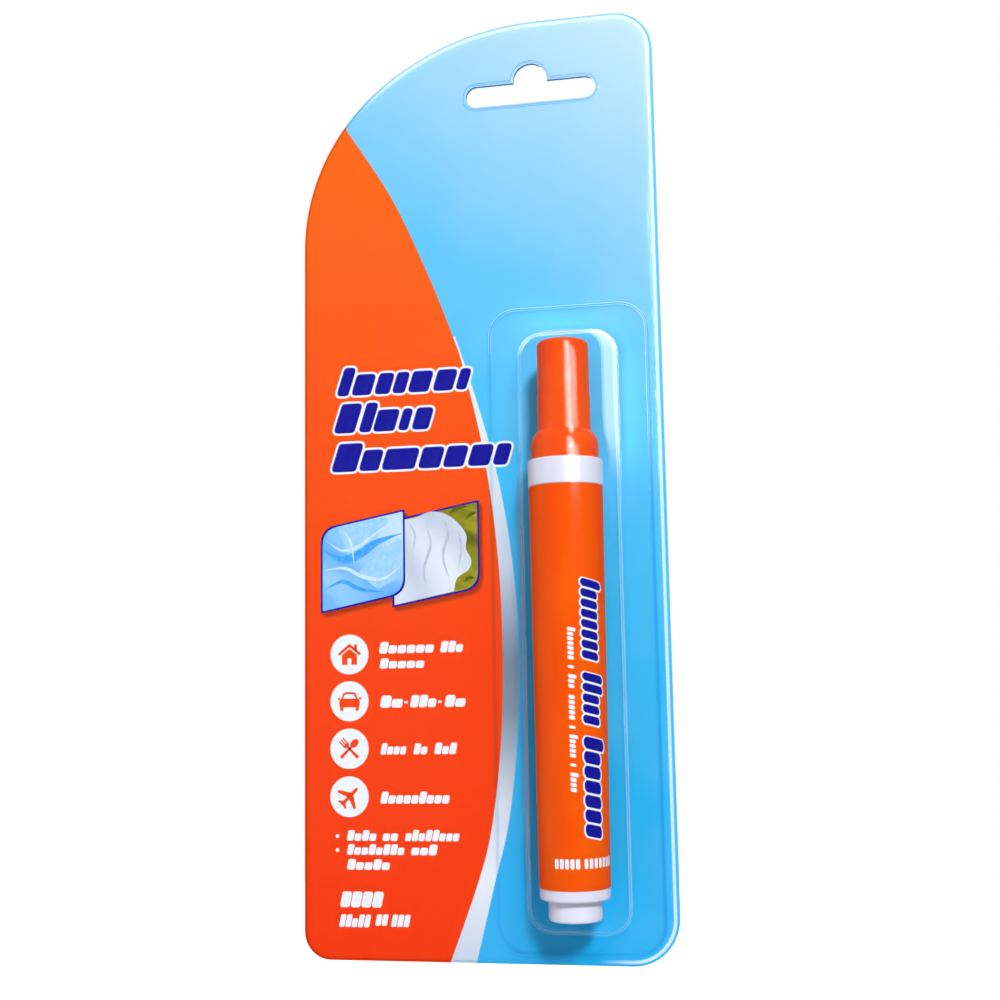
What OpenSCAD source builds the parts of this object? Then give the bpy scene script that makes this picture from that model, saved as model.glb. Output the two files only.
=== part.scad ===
// Stain remover pen sealed to its hanging card, in millimetres.
// +Z is up, the front of the pack faces -Y, and the origin is the seat of the display hook:
// the top of the hang slot's hump, on the back of the card. The pen stands with its cap up.

/* [Card] */
// Overall width of the card
card_w = 82; // [76:1:100]
// Overall height of the card
card_h = 210; // [200:1:240]
// Thickness of the board
card_t = 0.8; // [0.5:0.1:1.2]
// Radius of the swept corner where it leaves the left edge
sweep_r_side = 47.5; // [36:0.5:52]
// Radius of the swept corner where it runs into the top edge
sweep_r_top = 60; // [54:1:72]
// Degrees that the sweep turns before its radius changes
sweep_turn = 53; // [40:1:60]
// Radius of the upper right corner
card_r_upper = 9; // [4:0.5:12]
// Radius of the lower right corner
card_r_lower = 10; // [4:0.5:11]
// Radius of the lower left corner
card_r_left = 6; // [3:0.5:12]

/* [Hang slot] */
// Length of the slot from end to end
slot_w = 30; // [24:0.5:34]
// Height of the slot at its ends
slot_h = 5; // [4.5:0.1:6]
// Width of the hump that centres the hook
hump_w = 7.8; // [6.5:0.1:9]
// Rise of the hump above the slot's upper edge
hump_rise = 4.3; // [3.9:0.1:5.5]
// Distance from the card's top edge down to the hook's seat
seat_drop = 10; // [8:0.5:14]
// Distance from the card's right edge to the middle of the slot
slot_from_right = 28; // [24:0.5:34]

/* [Blister] */
// Thickness of the clear sheet
sheet_t = 0.5; // [0.35:0.05:0.6]
// Gap between the sheet and the card, which the heat seal fills
seal_gap = 0.12; // [0.08:0.02:0.3]
// Margin of card that shows beyond the sheet, all round and in the slot
rim = 0.55; // [0.3:0.05:0.9]
// Height of the raised panel around the cavity
panel_rise = 1; // [0.6:0.1:1.6]
// Width of the sloping edge of the raised panel
panel_slope = 1.2; // [0.8:0.1:1.3]
// Corner radius of the raised panel
panel_r = 6; // [5:0.5:9]
// Flat of the panel beside the cavity
panel_side = 6.6; // [5:0.1:7]
// Flat of the panel above the cavity
panel_above = 6; // [4:0.5:10]
// Flat of the panel below the cavity
panel_below = 4; // [3:0.1:4.4]

/* [Cavity] */
// Clearance between the dome and the pen's collar
side_clear = 1; // [0.7:0.1:1.4]
// Clearance between the dome and the cap
cap_clear = 2; // [1.2:0.1:2.2]
// How much wider the mouth is than the dome, each side
mouth_flare = 1.4; // [1:0.1:1.8]
// Clearance between the cavity's deep end and each end of the pen
end_clear = 0.9; // [0.7:0.1:1.3]
// Draft of the end walls in degrees
end_draft = 10; // [8:1:12]
// Radius where the end walls turn into the dome
end_r = 4; // [3:0.5:5]
// Corner radius of the mouth
mouth_r = 5; // [3:0.5:8]
// Height above the collar where the dome starts to narrow towards the cap
neck_in_from = 1.2; // [0.6:0.1:2]
// Height over which the dome narrows
neck_in_h = 5.3; // [4:0.1:7]

/* [Pen place] */
// Distance from the card's right edge to the pen's axis
pen_from_right = 20.7; // [20.5:0.1:24]
// Distance from the card's bottom edge up to the foot of the pen
pen_from_bottom = 10.8; // [10.6:0.1:20]
// Gap between the back of the collar and the card
pen_gap = 0.4; // [0.3:0.05:0.8]

/* [Pen body] */
// Diameter of the foot
foot_d = 11.1; // [9:0.1:12]
// Height of the foot
foot_h = 4.3; // [3:0.1:6]
// Diameter of the tail plug's flange
tail_d = 14.6; // [13.6:0.1:14.8]
// Height of the tail plug's flange
tail_h = 2.4; // [1.5:0.1:4]
// Length of the tube between flange and collar
barrel_h = 82.9; // [70:0.1:88]
// Diameter over the label at the collar
barrel_d_top = 15.8; // [15.2:0.1:16]
// Diameter over the label at the flange
barrel_d_low = 14.8; // [14.2:0.1:15.6]
// Wall of the tube
barrel_wall = 0.9; // [0.7:0.05:1.1]
// Thickness of the wrapped label
label_t = 0.15; // [0.08:0.01:0.2]
// Diameter of the white collar
collar_d = 16.06; // [16:0.02:16.6]
// Height of the white collar
collar_h = 5.8; // [4.5:0.1:8]
// Depth of the spigots that close both ends of the tube
spigot_h = 6.5; // [5:0.5:9]
// Wall of the tail plug's hollow
plug_wall = 1.1; // [0.9:0.1:1.4]
// Air left above the liquid when the pen is full
air_h = 2; // [1:0.5:20]

/* [Cap] */
// Height of the cap
cap_h = 26; // [25.6:0.1:28]
// Diameter of the cap's skirt
cap_skirt_d = 14.46; // [14.2:0.02:15]
// Height of the cap's skirt
cap_skirt_h = 3; // [2.5:0.1:3.6]
// Height of the rounded shoulder above the skirt
cap_flare_h = 3.3; // [3.1:0.1:4]
// Diameter of the cap below its step
cap_low_d = 11.4; // [11.3:0.02:12]
// Height of the step above the cap's rim
cap_step_h = 14; // [10:0.5:18]
// Diameter of the cap above its step
cap_top_d = 11.14; // [11:0.02:11.24]
// Thickness of the cap's end
cap_end_t = 1; // [0.8:0.1:1.3]
// Height of the inner cone between the cap's mouth and its bore
cap_cone_h = 2.2; // [2:0.1:2.4]
// Clearance in the cap above the neck's straight part
cap_over_neck = 0.6; // [0.4:0.1:0.8]
// Wall and ceiling of the cap's liner
liner_wall = 0.9; // [0.8:0.1:1.2]
// Height of the liner's rim above the nib holder's flange
liner_lift = 1.6; // [1:0.1:2.4]
// Radius of the cap's upper edge
cap_edge_r = 1.1; // [0.4:0.1:1.4]
// Wall of the cap above the shoulder
cap_wall = 0.7; // [0.6:0.02:0.72]

/* [Neck and nib] */
// Diameter of the neck that the cap slides over
neck_d = 11.8; // [11.6:0.1:12]
// Height of the neck's straight part
neck_h = 3.4; // [3:0.1:3.6]
// Diameter of the nose that holds the nib holder
nose_d = 9.2; // [8.8:0.1:9.3]
// Height of the cone between neck and nose
neck_cone_h = 2.4; // [2:0.1:2.6]
// Height of the nose above the collar
nose_h = 9; // [8:0.1:9.4]
// Bore of the nose
nose_bore_d = 7.2; // [6.8:0.1:7.6]
// Depth of the nib holder's spigot in the nose
holder_spigot_h = 5.8; // [4:0.1:5.8]
// Height of the nib holder's flange
holder_flange_h = 1; // [0.8:0.1:1.2]
// Height of the nib holder's cone
holder_cone_h = 6; // [5:0.5:7]
// Diameter of the nib holder's cone at its foot
holder_d_low = 8.2; // [8:0.1:8.4]
// Diameter of the nib holder's cone at its tip
holder_d_top = 6.4; // [6.2:0.1:7]
// Diameter of the fibre nib
nib_d = 5; // [4.4:0.1:5.2]
// Height of the nib's tip above the collar
nib_reach = 21; // [19.5:0.1:21.5]
// Radius of the rounded point of the nib
nib_point_r = 2; // [1:0.1:2.1]

/* [Valve] */
// Travel of the nib when it is pressed
press_travel = 1.5; // [1:0.1:1.5]
// Room left under the nib when it is fully pressed
press_spare = 0.5; // [0.3:0.1:0.8]
// Bore that holds the valve, below the ledge
valve_bore_d = 10.4; // [10:0.1:10.6]
// Height of the ledge above the collar's upper face
ledge_h = 0.5; // [0.2:0.1:0.8]
// Thickness of the valve seat
seat_t = 1.2; // [1:0.1:1.5]
// Diameter of the hole through the valve seat
orifice_d = 3.4; // [3.2:0.1:3.8]
// Outer diameter of the rubber washer
washer_d = 6.4; // [6:0.1:6.8]
// Thickness of the rubber washer
washer_t = 0.6; // [0.5:0.1:1]
// Length of the basket below the valve seat
basket_h = 10.5; // [9.5:0.5:12]
// Outer diameter of the basket
basket_d = 8.6; // [8.4:0.1:9]
// Wall and floor of the basket
basket_wall = 0.8; // [0.6:0.1:0.9]
// Thickness of the basket's flange
basket_flange_t = 1; // [0.8:0.1:1.4]
// Windows around the basket
basket_windows = 4; // [3:1:6]
// Diameter of the stem's head
stem_head_d = 5.8; // [5.2:0.1:6]
// Thickness of the stem's head
stem_head_t = 1.2; // [1:0.1:1.5]
// Diameter of the stem's rod
stem_rod_d = 2.8; // [2.4:0.1:3]
// Length of the spring guide below the head
stem_guide_h = 3; // [2:0.1:3.5]

/* [Spring] */
// Mean diameter of the spring
spring_d = 4.4; // [4:0.1:4.8]
// Diameter of the wire
wire_d = 0.5; // [0.4:0.05:0.6]
// Curls of the spring
spring_curls = 6; // [5:1:7]

/* [Fits] */
// Radial gap of pieces pressed together, and the end gap of pieces that push
fit_gap = 0.05; // [0.02:0.01:0.08]
// Radial gap of the cap on the neck's bead
cap_gap = 0.1; // [0.06:0.01:0.15]
// Rise of the neck's snap bead
bead_rise = 0.1; // [0.05:0.01:0.12]

/* [Hidden] */

$fn = 96;
hull_fn = 32;
cut = 0.5;

orange = "#ff5000";
navy_clear = "#b9e6fa";
sky = "#7fd0f7";
white = "#efedf7";

// Card edges in the pack's frame
card_right = slot_from_right;
card_left = card_right - card_w;
card_top = seat_drop;
card_bottom = card_top - card_h;

// Hang slot: the hump's top is the origin
hump_r = hump_w / 2;
slot_top = -hump_rise;
slot_mid = slot_top - slot_h / 2;

// Planes of the sheet, from the card outwards
sheet_back = -(card_t + seal_gap);
sheet_front = sheet_back - sheet_t;
panel_front = sheet_front - panel_rise;

// The pen's axis and foot
pen_x = card_right - pen_from_right;
collar_r = collar_d / 2;
pen_y = -(card_t + pen_gap + collar_r);
pen_z = card_bottom + pen_from_bottom;

// Heights up the pen from its foot
z_tail = foot_h;
z_barrel = z_tail + tail_h;
z_collar = z_barrel + barrel_h;
z_shoulder = z_collar + collar_h;
pen_h = z_shoulder + cap_h;

// Radii of the tube under its label
tube_r_top = barrel_d_top / 2 - label_t;
tube_r_low = barrel_d_low / 2 - label_t;
bore_r_top = tube_r_top - barrel_wall;
bore_r_low = tube_r_low - barrel_wall;
function bore_r(z) = bore_r_low + (bore_r_top - bore_r_low) * (z - z_barrel) / barrel_h;

// Tail plug and liquid
plug_core_r = min(foot_d / 2, bore_r_low) - plug_wall;
plug_floor = plug_wall;
plug_top = z_barrel + spigot_h;
fluid_top = z_collar - spigot_h - air_h;
land_h = spigot_h / 5;
groove_d = 0.3;

// Neck, nose and nib holder, above the shoulder
neck_r = neck_d / 2;
bead_r = neck_r + bead_rise;
bead_h = 0.8;
nose_r = nose_d / 2;
nose_bore_r = nose_bore_d / 2;
holder_bore_r = nib_d / 2 + fit_gap;
holder_top = nose_h + holder_flange_h + holder_cone_h;

// Valve stack, measured from the shoulder and going down
valve_bore_r = valve_bore_d / 2;
seat_under = ledge_h - seat_t;
washer_under = seat_under - washer_t;
head_top = washer_under - fit_gap;
head_under = head_top - stem_head_t;
basket_floor = seat_under - basket_h + basket_wall;
nib_foot = ledge_h + press_travel + press_spare;

// Cap, above the shoulder
cap_skirt_r = cap_skirt_d / 2;
cap_low_r = cap_low_d / 2;
cap_top_r = cap_top_d / 2;
flare_in = cap_skirt_r - cap_low_r;
flare_r = (cap_flare_h * cap_flare_h + flare_in * flare_in) / (2 * flare_in);
cap_mouth_r = bead_r + cap_gap;
cap_mouth_h = neck_h + cap_over_neck;
cap_bore_r = cap_top_r - cap_wall;
liner_low = nose_h + holder_flange_h + liner_lift;
liner_bore_r = (holder_d_low - (holder_d_low - holder_d_top) * liner_lift / holder_cone_h) / 2 + fit_gap;

// Cavity of the blister: a trough with drafted walls and a round top that follows the pen
dome_r_barrel = collar_r + side_clear + sheet_t;
dome_r_cap = cap_low_r + cap_clear + sheet_t;
mouth_half = dome_r_barrel + mouth_flare;
step_low = pen_z + z_shoulder + neck_in_from;
step_high = step_low + neck_in_h;
front_top = pen_z + pen_h + end_clear + sheet_t;
front_low = pen_z - end_clear - sheet_t;
crown = 0.15;
depth_barrel = pen_y - dome_r_barrel - crown;
depth_cap = pen_y - dome_r_cap - crown;
flare_top = front_top + (panel_front - depth_cap) * tan(end_draft);
flare_low = front_low - (panel_front - depth_barrel) * tan(end_draft);
mouth_trim = 0.2;
mouth_top = flare_top - mouth_trim;
mouth_low = flare_low + mouth_trim;
mouth_fall = panel_front - pen_y;
lean = 3;
wall_touch = acos(dome_r_barrel / norm([mouth_half, mouth_fall])) - atan2(mouth_fall, mouth_half) - lean;

// Spring: one wire wound by a formula
rings_per_curl = 8;
wire_sides = 6;
spring_foot = basket_floor + wire_d / 2 + fit_gap / 2;
spring_head = head_under - wire_d / 2 - fit_gap / 2;
spring_pitch = (spring_head - spring_foot) / spring_curls;
ring_count = spring_curls * rings_per_curl;
function coil_point(i) = let (a = 360 * i / rings_per_curl)
    [spring_d / 2 * cos(a), spring_d / 2 * sin(a), spring_foot + spring_pitch * i / rings_per_curl];
function wire_point(i, k) = let (a = 360 * i / rings_per_curl, b = 360 * k / wire_sides)
    coil_point(i) + wire_d / 2 * [cos(b) * cos(a), cos(b) * sin(a), sin(b)];
spring_gap = min([for (i = [0 : ring_count], j = [i + rings_per_curl - 1 : 1 : ring_count])
    norm(coil_point(i) - coil_point(j)) - wire_d]);
echo(spring_least_gap_mm = spring_gap);
echo(pen_length_mm = pen_h);
fluid_len = fluid_top - plug_top;
fluid_r_mid = (bore_r(plug_top) + bore_r(fluid_top)) / 2;
echo(liquid_ml = (PI * fluid_r_mid * fluid_r_mid * fluid_len
    + PI * plug_core_r * plug_core_r * (plug_top - plug_floor)) / 1000);

// Places what is drawn about the pen's axis, with its foot at zero
module on_pen() {
    translate([pen_x, pen_y, pen_z]) children();
}

// Places what is measured from the face of the collar that the cap sits on
module on_shoulder() {
    on_pen() translate([0, 0, z_shoulder]) children();
}

// Turns an upright outline (X, Z) into a plate that starts at y and grows towards the front
module plate(y, t) {
    translate([0, y, 0]) rotate([90, 0, 0]) linear_extrude(t) children();
}

module tube(z, h, r_out, r_in) {
    translate([0, 0, z]) difference() {
        cylinder(h = h, r = r_out);
        translate([0, 0, -cut]) cylinder(h = h + 2 * cut, r = r_in);
    }
}

// The part of a corner that lies outside a fillet of radius r about c, between two directions
module corner_waste(c, r, from, to) {
    reach = 2 * r;
    mid = (from + to) / 2;
    difference() {
        polygon([c, c + reach * [cos(from), sin(from)], c + reach * 1.5 * [cos(mid), sin(mid)],
            c + reach * [cos(to), sin(to)]]);
        translate(c) circle(r);
    }
}

// Outline of the card, drawn in by inset on every side
module card_outline(inset = 0) {
    r_side = sweep_r_side - inset;
    r_top = sweep_r_top - inset;
    turn_at = 180 - sweep_turn;
    change = sweep_r_top - sweep_r_side;
    overlap = 2;
    c_top = [card_left + sweep_r_side - change * cos(turn_at), card_top - sweep_r_top];
    c_side = c_top + change * [cos(turn_at), sin(turn_at)];
    difference() {
        translate([card_left + inset, card_bottom + inset])
            square([card_w - 2 * inset, card_h - 2 * inset]);
        corner_waste(c_side, r_side, turn_at, 180);
        corner_waste(c_top, r_top, 90, turn_at + overlap);
        corner_waste([card_right - card_r_upper, card_top - card_r_upper], card_r_upper - inset, 0, 90);
        corner_waste([card_right - card_r_lower, card_bottom + card_r_lower], card_r_lower - inset, 270, 360);
        corner_waste([card_left + card_r_left, card_bottom + card_r_left], card_r_left - inset, 180, 270);
    }
}

// Outline of the hang slot with its hump, grown by grow
module slot_outline(grow = 0) {
    end_r2 = slot_h / 2;
    reach = slot_w / 2 - end_r2;
    translate([-reach, slot_mid - end_r2 - grow]) square([2 * reach, slot_h + 2 * grow]);
    for (side = [-1, 1]) translate([side * reach, slot_mid]) circle(end_r2 + grow);
    translate([0, -hump_r]) circle(hump_r + grow);
    translate([-hump_r - grow, slot_mid]) square([2 * (hump_r + grow), -hump_r - slot_mid]);
}

module printed_card() {
    color(sky) plate(0, card_t) difference() {
        card_outline();
        slot_outline();
    }
}

// Frustum of the raised panel, standing on y
module panel_plug(y) {
    x_half = mouth_half + panel_side - panel_r;
    z_low = mouth_low - panel_below + panel_r;
    z_high = mouth_top + panel_above - panel_r;
    hull() for (side = [-1, 1], z = [z_low, z_high])
        translate([pen_x + side * x_half, y, z]) rotate([90, 0, 0]) {
            cylinder(h = panel_rise, r1 = panel_r + panel_slope, r2 = panel_r, $fn = hull_fn);
            translate([0, 0, -sheet_t / 2])
                cylinder(h = sheet_t / 2, r = panel_r + panel_slope, $fn = hull_fn);
        }
}

// Section (X, Y) of the cavity's leaning walls, which end on a circle of radius r about the pen's axis
module walls(r, half, y_mouth, y_low) {
    shoulder = [r * cos(wall_touch), pen_y - r * sin(wall_touch)];
    polygon([[-half, y_low], [half, y_low], [half, y_mouth], shoulder, [-shoulder[0], shoulder[1]],
        [-half, y_mouth]]);
}

// Whole section (X, Y): the walls and the front half of that circle
module trough(r, half, y_mouth, y_low) {
    walls(r, half, y_mouth, y_low);
    intersection() {
        translate([0, pen_y]) circle(r);
        translate([-r, pen_y - 2 * r]) square([2 * r, 2 * r]);
    }
}

// Long profile (Y, Z) of the cavity, with drafted and rounded end walls, drawn in by g
module long_profile(g, y_low) {
    r = end_r - g;
    y_mouth = panel_front + g;
    top_front = depth_cap + g;
    low_front = depth_barrel + g;
    slant = [-sin(end_draft), cos(end_draft)];
    c_top = [top_front + r, front_top - g + r * tan(end_draft) - r / cos(end_draft)];
    c_low = [low_front + r, front_low + g - r * tan(end_draft) + r / cos(end_draft)];
    polygon([[y_low, flare_low + g], [y_low, flare_top - g], [y_mouth, flare_top - g],
        c_top + r * slant, [top_front, c_top[1]], [top_front, step_high + 1], [low_front, step_high + 1],
        [low_front, c_low[1]], c_low + r * [slant[0], -slant[1]], [y_mouth, flare_low + g]]);
    translate(c_top) circle(r);
    translate(c_low) circle(r);
}

// Outline of the cavity's mouth (X, Z), drawn in by g
module mouth_outline(g) {
    r = mouth_r - g;
    low = mouth_low + g;
    high = mouth_top - g;
    half = mouth_half - g;
    translate([-half + r, low]) square([2 * (half - r), high - low]);
    translate([-half, low + r]) square([2 * half, high - low - 2 * r]);
    for (side = [-1, 1], z = [low + r, high - r]) translate([side * (half - r), z]) circle(r);
}

// The whole cavity as a solid, drawn in by g; y_low is where it starts behind the mouth
module cavity_plug(g, y_low) {
    half = mouth_half - g;
    y_mouth = panel_front + g;
    r_low = dome_r_barrel - g;
    r_high = dome_r_cap - g;
    slice = 0.1;
    translate([pen_x, 0, 0]) intersection() {
        union() {
            translate([0, 0, mouth_low]) linear_extrude(step_low - mouth_low)
                trough(r_low, half, y_mouth, y_low);
            translate([0, 0, step_high]) linear_extrude(mouth_top - step_high)
                trough(r_high, half, y_mouth, y_low);
            hull() {
                translate([0, 0, step_low - slice]) linear_extrude(slice) walls(r_low, half, y_mouth, y_low);
                translate([0, 0, step_high]) linear_extrude(slice) walls(r_high, half, y_mouth, y_low);
            }
            intersection() {
                translate([0, pen_y, step_low]) cylinder(h = neck_in_h, r1 = r_low, r2 = r_high);
                translate([-r_low, pen_y - 2 * r_low, step_low]) cube([2 * r_low, 2 * r_low, neck_in_h]);
            }
        }
        translate([-mouth_half - cut, 0, 0]) rotate([90, 0, 90]) linear_extrude(2 * (mouth_half + cut))
            long_profile(g, y_low);
        plate(y_low + cut, 4 * collar_d) mouth_outline(g);
    }
}

module blister_shell() {
    color(navy_clear, 0.35) difference() {
        union() {
            plate(sheet_back, sheet_t) difference() {
                card_outline(rim);
                slot_outline(rim);
            }
            panel_plug(sheet_front);
            cavity_plug(0, sheet_front + sheet_t / 2);
        }
        panel_plug(sheet_back);
        cavity_plug(sheet_t, sheet_back + cut);
    }
}

module barrel() {
    color(white) on_pen() translate([0, 0, z_barrel]) difference() {
        cylinder(h = barrel_h, r1 = tube_r_low, r2 = tube_r_top);
        cylinder(h = barrel_h, r1 = bore_r_low, r2 = bore_r_top);
    }
}

module label_sleeve() {
    grip = 0.01;
    color(orange) on_pen() translate([0, 0, z_barrel]) difference() {
        cylinder(h = barrel_h, r1 = barrel_d_low / 2, r2 = barrel_d_top / 2);
        cylinder(h = barrel_h, r1 = tube_r_low + grip, r2 = tube_r_top + grip);
    }
}

// Half profile of a disc with its lower outer edge rounded
module round_foot(r, h, edge) {
    translate([0, edge]) square([r, h - edge]);
    square([r - edge, h]);
    translate([r - edge, edge]) circle(edge);
}

module end_plug() {
    edge = 0.5;
    color(white) on_pen() difference() {
        union() {
            rotate_extrude() round_foot(foot_d / 2, z_tail + edge, edge);
            translate([0, 0, z_tail]) rotate_extrude() round_foot(tail_d / 2, tail_h, edge);
            translate([0, 0, z_barrel]) cylinder(h = spigot_h, r1 = bore_r_low - fit_gap,
                r2 = bore_r(plug_top) - fit_gap);
        }
        for (k = [1, 3]) tube(z_barrel + k * land_h, land_h, bore_r_top, bore_r_low - fit_gap - groove_d);
        translate([0, 0, plug_floor]) cylinder(h = plug_top, r = plug_core_r);
    }
}

// Half profile of the collar, with both outer edges rounded
module collar_profile(edge = 0.35) {
    translate([0, edge]) square([collar_r, collar_h - 2 * edge]);
    square([collar_r - edge, collar_h]);
    for (z = [edge, collar_h - edge]) translate([collar_r - edge, z]) circle(edge);
}

module front_section() {
    color(white) on_shoulder() difference() {
        union() {
            translate([0, 0, -collar_h - spigot_h])
                cylinder(h = spigot_h, r1 = bore_r(z_collar - spigot_h) - fit_gap, r2 = bore_r_top - fit_gap);
            translate([0, 0, -collar_h]) rotate_extrude() collar_profile();
            translate([0, 0, -cut]) cylinder(h = neck_h + cut, r = neck_r);
            translate([0, 0, (neck_h - bead_h) / 2]) cylinder(h = bead_h, r = bead_r);
            translate([0, 0, neck_h]) cylinder(h = neck_cone_h, r1 = neck_r, r2 = nose_r);
            cylinder(h = nose_h, r = nose_r);
        }
        translate([0, 0, -collar_h - spigot_h - cut])
            cylinder(h = collar_h + spigot_h + cut + ledge_h, r = valve_bore_r);
        cylinder(h = nose_h + cut, r = nose_bore_r);
    }
}

module nib_holder() {
    color(white) on_shoulder() difference() {
        union() {
            translate([0, 0, nose_h - holder_spigot_h])
                cylinder(h = holder_spigot_h, r = nose_bore_r - fit_gap);
            translate([0, 0, nose_h]) cylinder(h = holder_flange_h, r = nose_r);
            translate([0, 0, nose_h + holder_flange_h])
                cylinder(h = holder_cone_h, r1 = holder_d_low / 2, r2 = holder_d_top / 2);
        }
        translate([0, 0, nose_h - holder_spigot_h - cut])
            cylinder(h = holder_top, r = holder_bore_r);
    }
}

// Half profile of a rod with its upper edge rounded
module round_top(r, h, edge) {
    square([r, h - edge]);
    square([r - edge, h]);
    intersection() {
        translate([r - edge, h - edge]) circle(edge);
        translate([r - edge, h - edge]) square(edge);
    }
}

module nib() {
    color("#f4f2ec") on_shoulder() translate([0, 0, nib_foot])
        rotate_extrude() round_top(nib_d / 2, nib_reach - nib_foot, nib_point_r);
}

module valve_seat() {
    color(white) on_shoulder() tube(seat_under, seat_t, valve_bore_r - fit_gap, orifice_d / 2);
}

module valve_washer() {
    color("#5a5a5e") on_shoulder() tube(washer_under, washer_t, washer_d / 2, orifice_d / 2);
}

// Cage that holds the spring, with windows that let the liquid in
module valve_basket() {
    window_w = basket_d / 4;
    window_h = basket_h * 0.55;
    color("#e4e6ea") on_shoulder() difference() {
        union() {
            translate([0, 0, seat_under - basket_h]) cylinder(h = basket_h, r = basket_d / 2);
            translate([0, 0, seat_under - basket_flange_t])
                cylinder(h = basket_flange_t, r = valve_bore_r - fit_gap);
        }
        translate([0, 0, basket_floor]) cylinder(h = basket_h, r = basket_d / 2 - basket_wall);
        translate([0, 0, seat_under - basket_h - cut]) cylinder(h = basket_h, r = stem_rod_d / 2);
        for (k = [0 : basket_windows - 1]) rotate([0, 0, 360 * k / basket_windows])
            translate([0, -window_w / 2, basket_floor + basket_wall]) cube([basket_d, window_w, window_h]);
    }
}

module valve_stem() {
    color("#dfe3ea") on_shoulder() {
        translate([0, 0, head_under]) cylinder(h = stem_head_t, r = stem_head_d / 2);
        translate([0, 0, head_under - stem_guide_h]) cylinder(h = nib_foot - head_under + stem_guide_h,
            r = stem_rod_d / 2);
    }
}

module valve_spring() {
    points = [for (i = [0 : ring_count], k = [0 : wire_sides - 1]) wire_point(i, k)];
    last = ring_count * wire_sides;
    sides = [for (i = [0 : ring_count - 1], k = [0 : wire_sides - 1])
        let (a = i * wire_sides + k, b = i * wire_sides + (k + 1) % wire_sides)
        each [[a, b, a + wire_sides], [b, b + wire_sides, a + wire_sides]]];
    foot = [for (k = [1 : wire_sides - 2]) [0, k + 1, k]];
    head = [for (k = [1 : wire_sides - 2]) [last, last + k, last + k + 1]];
    color("#9fa3a8") on_shoulder() polyhedron(points, concat(sides, foot, head));
}

// Half profile of the cap's outside: skirt, rounded shoulder, lower and upper tube
module cap_outside() {
    square([cap_skirt_r, cap_skirt_h]);
    square([cap_low_r, cap_step_h]);
    intersection() {
        translate([cap_skirt_r - flare_r, cap_skirt_h]) circle(flare_r);
        translate([0, cap_skirt_h]) square([cap_skirt_r, cap_flare_h]);
    }
    round_top(cap_top_r, cap_h, cap_edge_r);
}

// Half profile of the cap's inside
module cap_inside() {
    polygon([[0, -cut], [cap_mouth_r, -cut], [cap_mouth_r, cap_mouth_h],
        [cap_bore_r, cap_mouth_h + cap_cone_h], [cap_bore_r, cap_h - cap_end_t], [0, cap_h - cap_end_t]]);
}

module cap() {
    color(orange) on_shoulder() rotate_extrude() difference() {
        cap_outside();
        cap_inside();
    }
}

module cap_liner() {
    top = cap_h - cap_end_t;
    color(white) on_shoulder() difference() {
        translate([0, 0, liner_low]) cylinder(h = top - liner_low, r = cap_bore_r - fit_gap);
        translate([0, 0, liner_low - cut]) cylinder(h = top - liner_low - liner_wall + cut, r = liner_bore_r);
    }
}

module cleaning_fluid() {
    color("#cfe9f7", 0.5) on_pen() {
        translate([0, 0, plug_floor + fit_gap])
            cylinder(h = plug_top - plug_floor, r = plug_core_r - fit_gap);
        translate([0, 0, plug_top + fit_gap]) cylinder(h = fluid_top - plug_top - fit_gap,
            r1 = bore_r(plug_top) - fit_gap, r2 = bore_r(fluid_top) - fit_gap);
    }
}

printed_card();
blister_shell();
barrel();
label_sleeve();
end_plug();
front_section();
nib_holder();
nib();
valve_seat();
valve_washer();
valve_basket();
valve_stem();
valve_spring();
cap();
cap_liner();
cleaning_fluid();
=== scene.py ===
import math

import bpy
from mathutils import Matrix, Vector
from mathutils.geometry import delaunay_2d_cdt


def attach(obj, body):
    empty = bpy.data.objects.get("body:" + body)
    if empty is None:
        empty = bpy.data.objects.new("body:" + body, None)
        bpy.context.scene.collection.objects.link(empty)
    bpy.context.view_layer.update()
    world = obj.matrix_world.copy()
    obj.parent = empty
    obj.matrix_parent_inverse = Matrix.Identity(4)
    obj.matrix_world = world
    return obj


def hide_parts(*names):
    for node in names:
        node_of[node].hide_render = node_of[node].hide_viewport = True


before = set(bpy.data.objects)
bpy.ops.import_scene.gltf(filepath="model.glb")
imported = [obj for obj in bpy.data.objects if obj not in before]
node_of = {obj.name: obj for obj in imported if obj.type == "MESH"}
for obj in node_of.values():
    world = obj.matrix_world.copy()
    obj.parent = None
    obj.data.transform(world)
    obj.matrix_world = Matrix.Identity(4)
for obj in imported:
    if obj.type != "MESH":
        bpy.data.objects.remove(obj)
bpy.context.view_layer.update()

MM = 0.001

# Sizes and places in millimetres, as the part's source has them
CARD_L, CARD_R, CARD_B, CARD_T = -54.0, 28.0, -200.0, 10.0
CARD_Y = -0.8
CARD_R_LEFT, CARD_R_LOWER, CARD_R_UPPER = 6.0, 10.0, 9.0
SWEEP_R_TOP, SWEEP_R_SIDE, SWEEP_JOIN = 60.0, 47.5, 127.0
SWEEP_X = CARD_L + SWEEP_R_SIDE - (SWEEP_R_TOP - SWEEP_R_SIDE) * math.cos(math.radians(SWEEP_JOIN))
SWEEP_Z = CARD_T - SWEEP_R_TOP
SLOT_REACH, SLOT_Z, SLOT_R, HUMP_R = 12.5, -6.8, 2.5, 3.9
SHEET_T = 0.5
SHEET_Y = -1.42
PANEL_Y = -2.42
RIM = 0.55
PEN_X, PEN_Y, PEN_Z = 7.3, -9.23, -189.2
PEN_H = 121.4
BARREL_H = 82.9
Z_BARREL = PEN_Z + 6.7
Z_CAP = PEN_Z + 95.4
CAP_STEP = 14.0
LABEL_R_LOW, LABEL_R_TOP = 7.4, 7.9

# Gloss: low, because the pack stands in an all-white studio and its colours stay deep
FILM_FLAT = 0.003
FILM_STEEP = 0.7
INK_SPEC = 0.06


# Materials

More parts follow.
